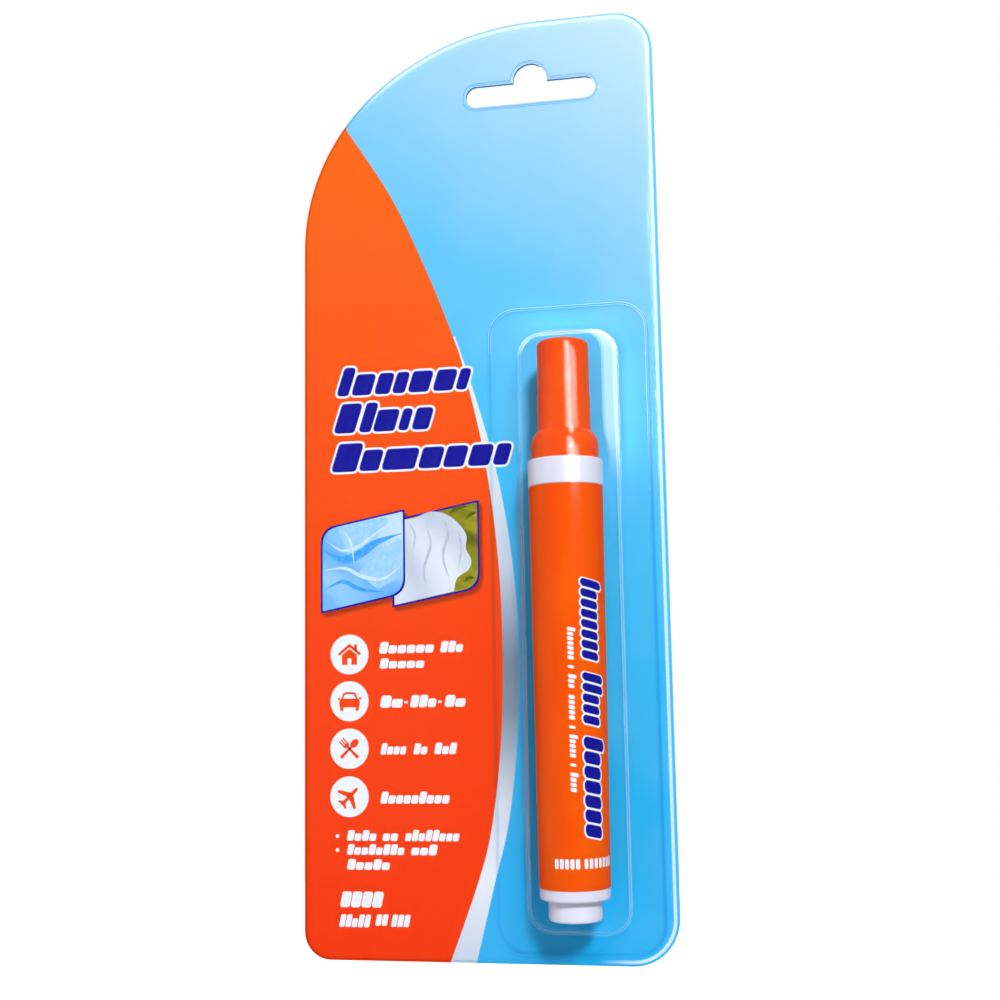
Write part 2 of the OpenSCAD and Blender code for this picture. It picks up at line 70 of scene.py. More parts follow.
def lin(r, g, b):
    """Linear colour of an sRGB colour given in 0..255."""
    def one(v):
        v /= 255.0
        return v / 12.92 if v <= 0.04045 else ((v + 0.055) / 1.055) ** 2.4
    return (one(r), one(g), one(b), 1.0)


class Shade:
    """Nodes of a material, or of the world, under construction."""

    def __init__(self, name, world=False):
        self.block = (bpy.data.worlds if world else bpy.data.materials).new(name)
        self.block.use_nodes = True
        self.tree = self.block.node_tree
        self.tree.nodes.clear()
        self.out = self.node("ShaderNodeOutputWorld" if world else "ShaderNodeOutputMaterial")

    def node(self, kind, inputs=None, **props):
        n = self.tree.nodes.new(kind)
        for key, value in props.items():
            setattr(n, key, value)
        for key, value in (inputs or {}).items():
            self.put(n.inputs[key], value)
        return n

    def put(self, socket, value):
        if isinstance(value, bpy.types.Node):
            value = value.outputs[0]
        if isinstance(value, bpy.types.NodeSocket):
            self.tree.links.new(value, socket)
        else:
            socket.default_value = value

    def coords(self):
        return self.node("ShaderNodeTexCoord").outputs["Object"]

    def xyz(self, coords):
        return tuple(self.node("ShaderNodeSeparateXYZ", {0: coords}).outputs)

    def noise(self, coords, per_mm, detail=2.0, rough=0.5, stretch=None):
        """Noise with so many features to the millimetre; stretch scales each axis."""
        if stretch:
            coords = self.node("ShaderNodeMapping", {"Vector": coords, "Scale": stretch}).outputs[0]
        return self.node("ShaderNodeTexNoise", {"Vector": coords, "Scale": per_mm / MM, "Detail": detail,
                                                "Roughness": rough}).outputs["Fac"]

    def span(self, value, low, high, to_low=0.0, to_high=1.0, smooth=False):
        return self.node("ShaderNodeMapRange", {0: value, 1: low, 2: high, 3: to_low, 4: to_high},
                         interpolation_type="SMOOTHSTEP" if smooth else "LINEAR").outputs[0]

    def rise(self, value, low, high, to_low=0.0, to_high=1.0):
        """Smooth change between two places, given in millimetres."""
        return self.span(value, low * MM, high * MM, to_low, to_high, smooth=True)

    def math(self, op, a, b=0.0):
        return self.node("ShaderNodeMath", {0: a, 1: b}, operation=op).outputs[0]

    def times(self, a, b):
        return self.math("MULTIPLY", a, b)

    def past(self, value, limit):
        """How far a place is beyond a limit in millimetres, and 0 before it."""
        return self.math("MAXIMUM", self.math("SUBTRACT", value, limit * MM), 0.0)

    def length(self, a, b):
        squares = self.math("ADD", self.times(a, a), self.times(b, b))
        return self.math("SQRT", squares)

    def mix(self, factor, a, b):
        n = self.node("ShaderNodeMix", data_type="RGBA")
        self.put(n.inputs[0], factor)
        self.put(n.inputs[6], a)
        self.put(n.inputs[7], b)
        return n.outputs[2]

    def lobe(self, kind, colour, **more):
        return self.node("ShaderNodeBsdf" + kind, {"Color": colour + (1,), **more})

    def blend(self, share, a, b):
        """Mix of two shaders; share is how much of the second."""
        return self.node("ShaderNodeMixShader", {0: share, 1: a, 2: b})

    def ramp(self, factor, stops):
        n = self.node("ShaderNodeValToRGB", {0: factor})
        marks = n.color_ramp.elements
        while len(marks) > 1:
            marks.remove(marks[-1])
        marks[0].position, marks[0].color = stops[0]
        for place, colour in stops[1:]:
            marks.new(place).color = colour
        return n.outputs[0]

    def bump(self, height, depth_mm, strength=1.0):
        return self.node("ShaderNodeBump", {"Strength": strength, "Distance": depth_mm * MM,
                                            "Height": height}).outputs[0]

    def rim(self, x, z):
        """Distance out from a line CARD_R_UPPER inside the card's right, top and bottom edges, in metres."""
        middle = -100.0
        top = self.length(self.past(x, CARD_R - CARD_R_UPPER), self.past(z, CARD_T - CARD_R_UPPER))
        below = self.math("MAXIMUM", self.math("SUBTRACT", (CARD_B + CARD_R_LOWER) * MM, z), 0.0)
        foot = self.length(self.past(x, CARD_R - CARD_R_LOWER), below)
        foot = self.math("SUBTRACT", foot, (CARD_R_LOWER - CARD_R_UPPER) * MM)
        right = self.mix(self.math("LESS_THAN", z, middle * MM), top, foot)
        sweep = self.length(self.math("SUBTRACT", x, SWEEP_X * MM), self.math("SUBTRACT", z, SWEEP_Z * MM))
        sweep = self.math("SUBTRACT", sweep, (SWEEP_R_TOP - CARD_R_UPPER) * MM)
        swept = self.times(self.math("LESS_THAN", x, SWEEP_X * MM),
                          self.math("GREATER_THAN", z, SWEEP_Z * MM))
        return self.mix(swept, right, sweep)

    def seen(self):
        """1 on rays that show a thing straight, through the sheet or as a reflection, else 0."""
        path = self.node("ShaderNodeLightPath").outputs
        either = self.math("MAXIMUM", path["Is Camera Ray"], path["Is Transmission Ray"])
        return self.math("MAXIMUM", either, path["Is Glossy Ray"])

    def finish(self, shader):
        self.put(self.out.inputs[0], shader)
        return self.block

    def plastic(self, colour, rough, normal=None, **more):
        inputs = {"Base Color": colour, "Roughness": rough}
        if normal is not None:
            inputs["Normal"] = normal
        inputs.update({key.replace("_", " "): value for key, value in more.items()})
        return self.finish(self.node("ShaderNodeBsdfPrincipled", inputs))

    def printed(self, at, colour, rough=0.38, relief=0.003, strength=0.5):
        """Print on board: fine grain and little gloss."""
        normal = self.bump(self.noise(at, 3.0, 4.0), relief, strength)
        return self.plastic(colour, rough, normal, Specular_IOR_Level=INK_SPEC)


def board_material():
    """Printed board: glossy sky gradient in front, grey-white fibre at the back, cut edges painted dark blue
    as shade.
    """
    s = Shade("card_print")
    at = s.coords()
    x, _, z = s.xyz(at)
    lean, low, high = 0.62, -215.0, 22.0
    along = s.math("ADD", z, s.times(x, lean))
    sky = s.ramp(s.span(along, low * MM, high * MM), [
        (0.0, lin(18, 174, 237)), (0.25, lin(32, 182, 241)), (0.47, lin(56, 189, 244)),
        (0.68, lin(100, 195, 243)), (0.86, lin(160, 210, 245)), (1.0, lin(194, 223, 247))])
    dots = s.span(s.noise(at, 0.05, 3.0), 0.35, 0.65, -0.02, 0.02)
    sky = s.mix(s.math("ADD", dots, 0.02), sky, lin(235, 247, 255))
    # deeper blue shows outside the sheet's edge
    sheet_edge, blur = CARD_R_UPPER - RIM, 0.13
    outside = s.span(s.rim(x, z), (sheet_edge - blur) * MM, sheet_edge * MM, 0.0, 0.8)
    sky = s.mix(outside, sky, lin(66, 190, 246))
    fibre = s.noise(at, 2.2, 5.0, 0.7)
    back = s.ramp(fibre, [(0.3, lin(196, 194, 188)), (0.7, lin(226, 224, 218))])
    _, facing, _ = s.xyz(s.node("ShaderNodeNewGeometry").outputs["Normal"])
    # painted shade: the cut edges are coloured dark blue, as edges in shadow show
    layers = s.span(s.noise(at, 1.5, 3.0, stretch=(1, 30, 1)), 0.3, 0.7)
    edge = s.mix(layers, lin(28, 128, 196), lin(64, 166, 224))
    front = s.math("LESS_THAN", facing, -0.5)
    behind = s.math("GREATER_THAN", facing, 0.5)
    colour = s.mix(behind, s.mix(front, edge, sky), back)
    rough = s.math("ADD", s.times(behind, 0.4), s.span(fibre, 0.3, 0.7, 0.34, 0.42))
    return s.printed(at, colour, rough, 0.004, 0.6)


def orange_ink():
    """Solid orange print that turns redder down the card."""
    s = Shade("orange_ink")
    at = s.coords()
    low, high = CARD_B, -10.0
    tone = s.ramp(s.span(s.xyz(at)[2], low * MM, high * MM), [
        (0.0, lin(252, 56, 0)), (0.35, lin(252, 66, 1)), (0.65, lin(252, 84, 3)), (1.0, lin(253, 104, 10))])
    mottle = s.span(s.noise(at, 0.12, 4.0, 0.6), 0.35, 0.7)
    tone = s.mix(s.times(mottle, 0.08), tone, lin(235, 40, 0))
    return s.printed(at, tone, s.span(mottle, 0.0, 1.0, 0.36, 0.42))


def swoosh_ink_and_shadow():
    """Pale band, blue-grey in its middle: partly the print's own grey, partly painted shadow of the pen."""
    s = Shade("swoosh_ink_and_shadow")
    at = s.coords()
    low, high = CARD_B, -60.0
    # the dark stops in the middle are partly the print's grey and partly painted shadow of the pen
    tone = s.ramp(s.span(s.xyz(at)[2], low * MM, high * MM), [
        (0.0, lin(208, 215, 232)), (0.12, lin(240, 240, 248)), (0.24, lin(224, 227, 238)),
        (0.32, lin(170, 183, 199)), (0.38, lin(132, 148, 164)), (0.46, lin(124, 140, 157)),
        (0.54, lin(168, 182, 202)), (0.61, lin(206, 217, 233)), (0.75, lin(226, 232, 242)),
        (1.0, lin(242, 246, 251))])
    fine = s.span(s.noise(at, 0.2, 3.0), 0.3, 0.7)
    return s.printed(at, s.mix(s.times(fine, 0.1), tone, lin(188, 198, 218)))


def plain_ink(name, dark, light, rough=0.38):
    """Flat ink with the slight mottle of a printed solid."""
    s = Shade(name)
    at = s.coords()
    mottle = s.span(s.noise(at, 0.9, 4.0, 0.6), 0.35, 0.65)
    return s.printed(at, s.mix(mottle, dark, light), rough)


def cloth_picture(name, deep, light, bright, angle, per_mm=0.055):
    """Printed picture of folded cloth: soft folds, one way across."""
    s = Shade(name)
    at = s.coords()
    turned = s.node("ShaderNodeMapping", {"Vector": at, "Rotation": (0.0, angle, 0.0)}).outputs[0]
    warp = s.noise(turned, per_mm, 2.0, 0.4, stretch=(1.0, 1.0, 0.35))
    fold = s.noise(turned, per_mm * 2.3, 3.0, 0.45, stretch=(1.0, 1.0, 0.25))
    tone = s.ramp(s.math("ADD", s.times(warp, 0.6), s.times(fold, 0.4)), [
        (0.34, deep), (0.5, light), (0.62, bright), (0.75, light)])
    return s.printed(at, tone)


def moulded(name, dark, light, rough, grain=0.0015, coat=0.0, sub=0.0, spec=0.5, ring=None):
    """Injection-moulded plastic: faint flow mottle, a very fine skin and a thin bright top gloss.

    A ring, given by its height in millimetres, is a fine groove round the piece."""
    s = Shade(name)
    at = s.coords()
    flow = s.span(s.noise(at, 0.12, 3.0, 0.5, stretch=(1.0, 1.0, 0.3)), 0.35, 0.65)
    skin = s.noise(at, 5.0, 4.0, 0.6)
    shine = s.span(skin, 0.3, 0.7, rough - 0.03, rough + 0.04)
    normal = s.bump(skin, grain, 0.5)
    if ring:
        half_width, depth = 0.28, 0.08
        near = s.math("ABSOLUTE", s.math("SUBTRACT", s.xyz(at)[2], ring * MM))
        normal = s.node("ShaderNodeBump", {"Strength": 0.7, "Distance": depth * MM, "Normal": normal,
                                           "Height": s.rise(near, 0.0, half_width)})
    return s.plastic(s.mix(flow, dark, light), shine, normal, Specular_Tint=light,
                     Specular_IOR_Level=spec, Coat_Weight=coat, Coat_Roughness=0.14, Coat_IOR=1.5,
                     Subsurface_Weight=sub, Subsurface_Radius=(0.002, 0.0012, 0.0008), Subsurface_Scale=1.0)


def film(name, tint, painted_sheen=0.0, low=0.05, sheen=FILM_STEEP, white=(0.95, 0.99, 1.0), rim=False):
    """Clear thermoformed sheet: see-through, glossier where it is steep, faintly wavy from forming.

    Painted sheen whitens it beside the cap's right side and over its top end, where the light falls, and
    draws bright lines along its bends.
    A painted white highlight runs along the sheet's rim on its right and top edges."""
    s = Shade(name)
    at = s.coords()
    x, y, z = s.xyz(at)
    wave = s.noise(at, 0.05, 2.0, 0.4)
    scuff = s.noise(at, 1.6, 5.0, 0.6)
    normal = s.bump(s.math("ADD", wave, s.times(scuff, 0.003)), 0.08, 0.4)
    steep = s.node("ShaderNodeLayerWeight", {"Blend": 0.5, "Normal": normal}).outputs["Facing"]
    gloss = s.lobe("Glossy", (1, 1, 1), Normal=normal, Roughness=s.span(scuff, 0.3, 0.7, 0.08, 0.12))
    share = s.math("ADD", s.times(s.math("POWER", steep, 8.0), sheen), FILM_FLAT)
    body = s.blend(share, s.lobe("Transparent", tint), gloss)
    # painted sheen, beside the cap's right side and over its top, where the light falls
    beside = s.math("MAXIMUM", s.rise(x, 8.0, 15.0), s.rise(z, -70.0, -66.0))
    lit_side = s.times(s.rise(z, -100.0, -84.0), beside)
    # painted sheen: a white scatter laid on by place, and as bright lines along the bends
    sheen_scatter = s.blend(0.6, s.lobe("Diffuse", white, Normal=normal),
                   s.lobe("Glossy", white, Normal=normal, Roughness=0.6))
    # the painted sheen whitens the view more than it dims what lies in its shadow
    thin = s.span(s.node("ShaderNodeLightPath").outputs["Is Shadow Ray"], 0.0, 1.0, 1.0, 0.2)
    painted_sheen = s.times(thin, painted_sheen)
    deep = s.rise(y, -13.0, -9.0, 0.5, 1.0)
    share = s.times(s.span(s.times(lit_side, deep), 0.0, 1.0, low, 1.0), painted_sheen)
    if not rim:
        share = s.times(share, s.span(steep, 0.05, 0.7, smooth=True))
    body = s.blend(share, body, sheen_scatter)
    if rim:
        # painted highlight: a white band along the sheet's right and top edges, faded out on the left and at
        # the foot, which face away from the light
        edge = s.rim(x, z)
        outer, gone = 9.2, 9.6
        band = s.times(s.rise(edge, 7.65, 7.9), s.span(edge, gone * MM, outer * MM))
        left = s.rise(x, -44.0, -30.0)
        foot, foot_end = -190.0, -180.0
        fade = s.math("MAXIMUM", s.span(z, foot * MM, foot_end * MM), s.rise(x, 10.0, 22.0))
        grain = s.span(s.noise(at, 2.0, 4.0, 0.6), 0.3, 0.7, 0.6, 0.75)
        glint_white = (0.95, 0.98, 1.0)
        edge_glint = s.blend(0.35, s.lobe("Diffuse", glint_white, Normal=normal),
                        s.lobe("Translucent", glint_white, Normal=normal))
        share = s.times(s.times(band, grain), s.times(left, fade))
        body = s.blend(s.times(share, thin), body, edge_glint)
    return s.finish(body)


def brushed_wire():
    s = Shade("spring_wire")
    at = s.coords()
    grain = s.noise(at, 6.0, 4.0)
    return s.plastic(s.mix(grain, lin(140, 142, 146), lin(186, 188, 192)), s.span(grain, 0.3, 0.7, 0.25, 0.4),
                     s.bump(grain, 0.002, 0.6), Metallic=1.0)


def felt():
    """Fibre nib: fibres run along the rod."""
    s = Shade("nib_fibre")
    at = s.coords()
    fibre = s.noise(at, 5.0, 6.0, 0.7, stretch=(1.0, 1.0, 0.12))
    return s.plastic(s.ramp(fibre, [(0.3, lin(206, 203, 190)), (0.7, lin(246, 244, 236))]), 0.9,
                     s.bump(fibre, 0.05, 0.8))


def liquid():
    s = Shade("liquid")
    at = s.coords()
    drift = s.noise(at, 0.06, 3.0)
    return s.plastic(s.mix(drift, (0.5, 0.75, 0.86, 1), (0.62, 0.84, 0.93, 1)), 0.08, IOR=1.34,
                     Transmission_Weight=0.6)


MATS = {
    "card": board_material(),
    "orange_ink": orange_ink(),
    "swoosh": swoosh_ink_and_shadow(),
    "navy": plain_ink("navy_ink", lin(6, 6, 140), lin(14, 12, 160), 0.34),
    "cloth_blue": cloth_picture("cloth_blue", lin(40, 150, 240), lin(140, 200, 253), lin(205, 228, 255), 0.9),
    "cloth_white": cloth_picture("cloth_white", lin(190, 199, 216), lin(226, 231, 243),
                                 lin(238, 242, 250), 0.5),
    "olive": cloth_picture("olive_ground", lin(84, 84, 10), lin(146, 142, 24), lin(176, 168, 44), 1.2, 0.2),
    # wall, bend, lip and glint carry painted sheen, the number after the tint; bend and crease are tinted
    # darker as painted dark lines at the folds
    "clear": film("clear_sheet", (0.97, 0.984, 0.993), rim=True),
    "wall": film("clear_wall", (0.95, 0.985, 0.995), 0.36, 0.03, 0.12, (0.85, 0.98, 1.0)),
    "bend": film("clear_bend", (0.78, 0.9, 0.96), 0.8, 0.3),
    "lip": film("clear_lip", (0.97, 0.99, 1.0), 0.8, 0.12),
    "crease": film("clear_crease", (0.76, 0.89, 0.96), sheen=0.2),
    "glint": film("clear_glint", (0.96, 0.985, 1.0), 0.4),
    "cut": film("clear_cut_edge", (0.5, 0.66, 0.76), sheen=0.3),
    "label": moulded("label_film", lin(253, 78, 0), lin(255, 94, 1), 0.45, spec=0.02),
    "cap": moulded("orange_plastic", lin(252, 72, 0), lin(255, 90, 1), 0.3, coat=0.16, spec=0.02,
                   ring=Z_CAP + CAP_STEP),
    "white": moulded("white_plastic", lin(228, 222, 238), lin(239, 236, 247), 0.32, coat=0.2, sub=0.15),
    "liner": moulded("liner_plastic", lin(222, 222, 224), lin(234, 234, 236), 0.45),
    "valve": moulded("valve_plastic", lin(196, 202, 212), lin(214, 218, 226), 0.4),
    "rubber": moulded("seal_rubber", lin(42, 42, 45), lin(60, 60, 64), 0.7, 0.004),
    "wire": brushed_wire(),
    "nib": felt(),
    "liquid": liquid(),
}
for name, dark, light in (
        ("white_ink", (240, 240, 246), (250, 250, 253)), ("icon_ink", (246, 60, 4), (252, 78, 10)),
        ("shade_ink_0", (236, 72, 4), (238, 74, 4)), ("shade_ink_1", (216, 62, 4), (220, 64, 4)),
        ("shade_ink_2", (176, 48, 2), (184, 52, 4)), ("olive_dark", (74, 78, 8), (104, 106, 20)),
        ("fold_grey", (178, 188, 206), (204, 211, 225)), ("fold_light", (196, 224, 255), (222, 238, 255)),
        ("fold_pale", (150, 205, 252), (176, 217, 254)), ("fold_blue", (44, 156, 240), (90, 178, 246))):
    MATS[name] = plain_ink(name, lin(*dark), lin(*light))


# Mesh helpers

def piece(name, verts, faces, body, mats, smooth=True, picks=None):
    """A mesh object from points in millimetres, riding on a body."""
    mesh = bpy.data.meshes.new(name)
    mesh.from_pydata([(x * MM, y * MM, z * MM) for x, y, z in verts], [], faces)
    for m in mats:
        mesh.materials.append(m)
    for i, poly in enumerate(mesh.polygons):
        poly.use_smooth = smooth
        if picks:
            poly.material_index = picks[i]
    mesh.validate()
    mesh.update()
    obj = bpy.data.objects.new(name, mesh)
    bpy.context.scene.collection.objects.link(obj)
    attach(obj, body)
    return obj


def arc(cx, cz, r, a0, a1, n):
    return [(cx + r * math.cos(math.radians(a0 + (a1 - a0) * i / n)),
             cz + r * math.sin(math.radians(a0 + (a1 - a0) * i / n))) for i in range(n + 1)]


def tidy(points, least=0.02):
    """Drops points that repeat the one before."""
    kept = []
    for p in points:
        if not kept or math.dist(p, kept[-1]) > least:
            kept.append(p)
    if math.dist(kept[0], kept[-1]) <= least:
        kept.pop()
    return kept


def card_outline(inset, fine=2):
    """Outline of the card (X, Z), counter-clockwise from the lower left."""
    apart = SWEEP_R_TOP - SWEEP_R_SIDE
    side_x = SWEEP_X + apart * math.cos(math.radians(SWEEP_JOIN))
    side_z = SWEEP_Z + apart * math.sin(math.radians(SWEEP_JOIN))
    corners = [
        (CARD_L + CARD_R_LEFT, CARD_B + CARD_R_LEFT, CARD_R_LEFT, 180, 270, 6),
        (CARD_R - CARD_R_LOWER, CARD_B + CARD_R_LOWER, CARD_R_LOWER, 270, 360, 8),
        (CARD_R - CARD_R_UPPER, CARD_T - CARD_R_UPPER, CARD_R_UPPER, 0, 90, 8),
        (SWEEP_X, SWEEP_Z, SWEEP_R_TOP, 90, SWEEP_JOIN, 14),
        (side_x, side_z, SWEEP_R_SIDE, SWEEP_JOIN, 180, 16)]
    points = []
    for x, z, r, start, end, steps in corners:
        points += arc(x, z, r - inset, start, end, steps * fine)
    return tidy(points)


def slot_outline(grow):
    """Outline of the hang slot (X, Z), wider by grow all round, counter-clockwise from its right end."""
    top = SLOT_Z + SLOT_R + grow
    start = math.degrees(math.asin((top + HUMP_R) / (HUMP_R + grow)))
    points = arc(SLOT_REACH, SLOT_Z, SLOT_R + grow, -90, 90, 16)
    points += arc(0, -HUMP_R, HUMP_R + grow, start, 180 - start, 24)
    points += arc(-SLOT_REACH, SLOT_Z, SLOT_R + grow, 90, 270, 16)
    return tidy(points)


def smooth(points, steps=8):
    """Catmull-Rom curve through the points."""
    pts = [Vector(p) for p in points]
    pts = [2 * pts[0] - pts[1]] + pts + [2 * pts[-1] - pts[-2]]
    out = []
    for a, b, c, d in zip(pts, pts[1:], pts[2:], pts[3:]):
        for k in range(steps):
            t = k / steps
            out.append(0.5 * (2 * b + (c - a) * t + (2 * a - 5 * b + 4 * c - d) * t * t
                              + (3 * b - a - 3 * c + d) * t ** 3))
    return [(p.x, p.y) for p in out] + [tuple(points[-1])]


def inside(p, loop):
    hit = False
    for (x0, y0), (x1, y1) in zip(loop, loop[1:] + loop[:1]):
        if (y0 > p[1]) != (y1 > p[1]) and p[0] < (x1 - x0) * (p[1] - y0) / (y1 - y0) + x0:
            hit = not hit
    return hit


def fill(outer, holes=()):
    """Triangles between an outer loop and its holes: the loops' points in order, any crossings, the faces."""
    points, edges = [], []
    for loop in [outer] + list(holes):
        base = len(points)
        points += loop
        edges += [(base + i, base + (i + 1) % len(loop)) for i in range(len(loop))]
    out, _, faces, origin, _, _ = delaunay_2d_cdt([Vector(p) for p in points], edges, [], 0, 1e-6)
    names = []
    for p, first in zip(out, origin):
        if first:
            names.append(first[0])
        else:
            names.append(len(points))
            points.append((p.x, p.y))
    kept = []
    for f in faces:
        c = (sum(out[i].x for i in f) / 3, sum(out[i].y for i in f) / 3)
        if inside(c, outer) and not any(inside(c, h) for h in holes):
            kept.append(tuple(names[i] for i in f))
    return points, kept


# Print on the card

LAYER = 0.012
INK_GAP = 0.02


def ink(name, outlines, level, key):
    """Thin solid patches of ink on the card, one for each outline (X, Z)."""
    verts, faces = [], []
    back, front = CARD_Y - LAYER * level, CARD_Y - LAYER * (level + 1)
    for outline in outlines:
        outline = tidy(outline, 0.005)
        if sum(a[0] * b[1] - b[0] * a[1] for a, b in zip(outline, outline[1:] + outline[:1])) < 0:
            outline.reverse()
        points, tris = fill(outline)
        base, n, m = len(verts), len(outline), len(points)
        verts += [(x, front, z) for x, z in points] + [(x, back, z) for x, z in points]
        faces += [tuple(base + i for i in t) for t in tris]
        faces += [tuple(base + m + i for i in reversed(t)) for t in tris]
        faces += [(base + i, base + m + i, base + m + (i + 1) % n, base + (i + 1) % n) for i in range(n)]
    return piece(name, verts, faces, "card", [MATS[key]], smooth=False)


def disc(cx, cz, r, n=40):
    return arc(cx, cz, r, 0, 360 * (n - 1) / n, n - 1)


def rounded(points, radii, n=6):
    """Polygon with rounded corners; radii gives each corner's."""
    out = []
    count = len(points)
    for i, p in enumerate(points):
        r = radii[i]
        if r <= 0:
            out.append(p)
            continue
        p = Vector(p)
        a = (Vector(points[i - 1]) - p)
        b = (Vector(points[(i + 1) % count]) - p)
        half = a.angle(b) / 2
        back = r / math.tan(half)
        start, end = p + a.normalized() * back, p + b.normalized() * back
        for k in range(n + 1):
            t = k / n
            out.append(tuple((1 - t) ** 2 * start + 2 * t * (1 - t) * p + t * t * end))
    return out


def leaning(a, b, z, tall, lean, r, n=4):
    """Slanted block with rounded corners that stands on z from a to b."""
    return rounded([(a, z), (b, z), (b + tall * lean, z + tall), (a + tall * lean, z + tall)], [r] * 4, n)


def upright(x, z, wide, tall, r):
    return rounded([(x, z), (x + wide, z), (x + wide, z + tall), (x, z + tall)], [r] * 4)


# The orange field's curved edge, from its top down, and the swoosh's right edge, from its foot up.
# The swoosh's left edge is the field's, from point SWOOSH_FROM on.
FIELD = [(-46.2, -8.2), (-43.9, -11.6), (-32.9, -29.4), (-24.5, -48.1), (-18.8, -63.0), (-16.9, -68.9),
         (-13.2, -84.6), (-11.3, -95.8), (-9.9, -107.2), (-8.9, -121.2), (-8.75, -139.3), (-9.6, -155.8),
         (-11.8, -172.0), (-14.8, -182.9), (-20.9, -199.2), (-21.3, -200.0)]
SWOOSH_FROM = 4
SWOOSH = [(-15.6, -200.0), (-15.3, -199.2), (-11.5, -184.3), (-8.1, -171.2), (-6.0, -155.8), (-5.2, -143.0),
          (-5.1, -132.0), (-5.4, -123.0), (-6.3, -112.9), (-8.2, -99.9), (-10.9, -87.7), (-14.6, -74.6),
          (-18.4, -62.8)]


def print_field():
    """The orange field and the pale swoosh along its curve."""
    edge = card_outline(INK_GAP, 3)
    foot = CARD_B + INK_GAP
    field_foot, swoosh_foot = (FIELD[-1][0], foot), (SWOOSH[0][0], foot)

    def above_foot(curve):
        return [p for p in curve if p[1] > foot + 0.03]

    # round the field: down the card's left side, round its corner, and up the curve
    curve = smooth(FIELD)
    start = Vector(curve[0])
    high = min(range(len(edge)), key=lambda i: (Vector(edge[i]) - start).length)
    reach = CARD_R_LEFT + 0.5
    corner = [p for p in edge if p[0] < CARD_L + reach and p[1] < CARD_B + reach]
    shore = [p for p in above_foot(reversed(curve)) if inside(p, edge)]
    ink("ink_field", [edge[high:] + corner + [field_foot] + shore], 0, "orange_ink")
    band = above_foot(smooth(SWOOSH)) + above_foot(smooth(FIELD[SWOOSH_FROM:]))
    ink("ink_swoosh", [[field_foot, swoosh_foot] + band], 1, "swoosh")


# Title lines: tall and low letters, the height they stand on, that of a tall one, and each letter's span
TITLE = [
    ("Tssssss", -75.2, 6.6, [
        (-46.5, -43.6), (-43.0, -38.3), (-37.6, -33.9), (-33.4, -30.3), (-29.7, -24.8), (-23.9, -19.2),
        (-18.6, -16.0)]),
    ("TTsss", -83.8, 6.8, [
        (-47.2, -42.2), (-41.3, -38.4), (-38.0, -32.8), (-32.1, -29.7), (-28.9, -24.9)]),
    ("Tssssss", -92.7, 6.5, [
        (-47.8, -41.9), (-41.3, -36.6), (-36.0, -28.2), (-27.5, -22.4), (-21.8, -16.9), (-16.1, -11.1),
        (-10.4, -7.0)])]


def print_title():
    """Three title lines as slanted blocks, navy on a white edge."""
    low, lean, r, margin = 0.74, 0.32, 1.0, 0.5
    navy, white = [], []
    for kinds, z, cap, spans in TITLE:
        for kind, (a, b) in zip(kinds, spans):
            tall = cap if kind == "T" else cap * low
            navy.append(leaning(a, b, z, tall, lean, r, 5))
            slip = margin * lean
            white.append(leaning(a - margin - slip, b + margin - slip, z - margin, tall + 2 * margin, lean,
                                 r + margin, 5))
    for k, shape in enumerate(white):
        ink(f"title_edge_{k:02d}", [shape], 2 + 0.2 * (k % 2), "white_ink")
    ink("title_blocks", navy, 3.4, "navy")


LEFT_TILE = [(-50.17, -105.45), (-30.5, -101.77), (-30.5, -120.75), (-50.17, -124.67)]
RIGHT_TILE = [(-33.55, -104.15), (-13.45, -100.35), (-13.45, -120.0), (-33.55, -123.75)]
TILE_RADII = [4.2, 0.3, 4.2, 0.3]


def print_tiles():
    """Two picture tiles with navy borders and soft shades."""
    # three shades, each nearer to the tile and darker than the one before
    for k in range(3):
        drop_x, drop_z = 1.05 - 0.22 * k, -1.5 + 0.34 * k
        for side, tile in (("left", LEFT_TILE), ("right", RIGHT_TILE)):
            dropped = rounded([(x + drop_x, z + drop_z) for x, z in tile], TILE_RADII)
            ink(f"tile_shade_{side}_{k}", [dropped], 0.2 + 0.5 * k, f"shade_ink_{k}")
    for side, tile, level, ground in (("right", RIGHT_TILE, 2, "olive"),
                                      ("left", LEFT_TILE, 5, "cloth_blue")):
        mid = Vector((sum(p[0] for p in tile) / 4, sum(p[1] for p in tile) / 4))
        within = [tuple(mid + (Vector(p) - mid) * 0.955) for p in tile]
        ink(f"tile_border_{side}", [rounded(tile, TILE_RADII)], level, "navy")
        ink(f"tile_ground_{side}", [rounded(within, TILE_RADII)], level + 1, ground)
    picture_right()
    picture_left()


def print_discs():
    """Four white discs with orange pictograms."""
    discs = [(-43.54, -133.92), (-43.58, -144.26), (-43.62, -154.67), (-43.67, -165.1)]
    ink("discs", [disc(x, z, 4.42) for x, z in discs], 1, "white_ink")
    for (x, z), (name, draw) in zip(discs, (("house", house), ("car", car), ("meal", fork_and_spoon),
                                            ("plane", plane))):
        ink(f"icon_{name}", draw(x, z), 2, "icon_ink")


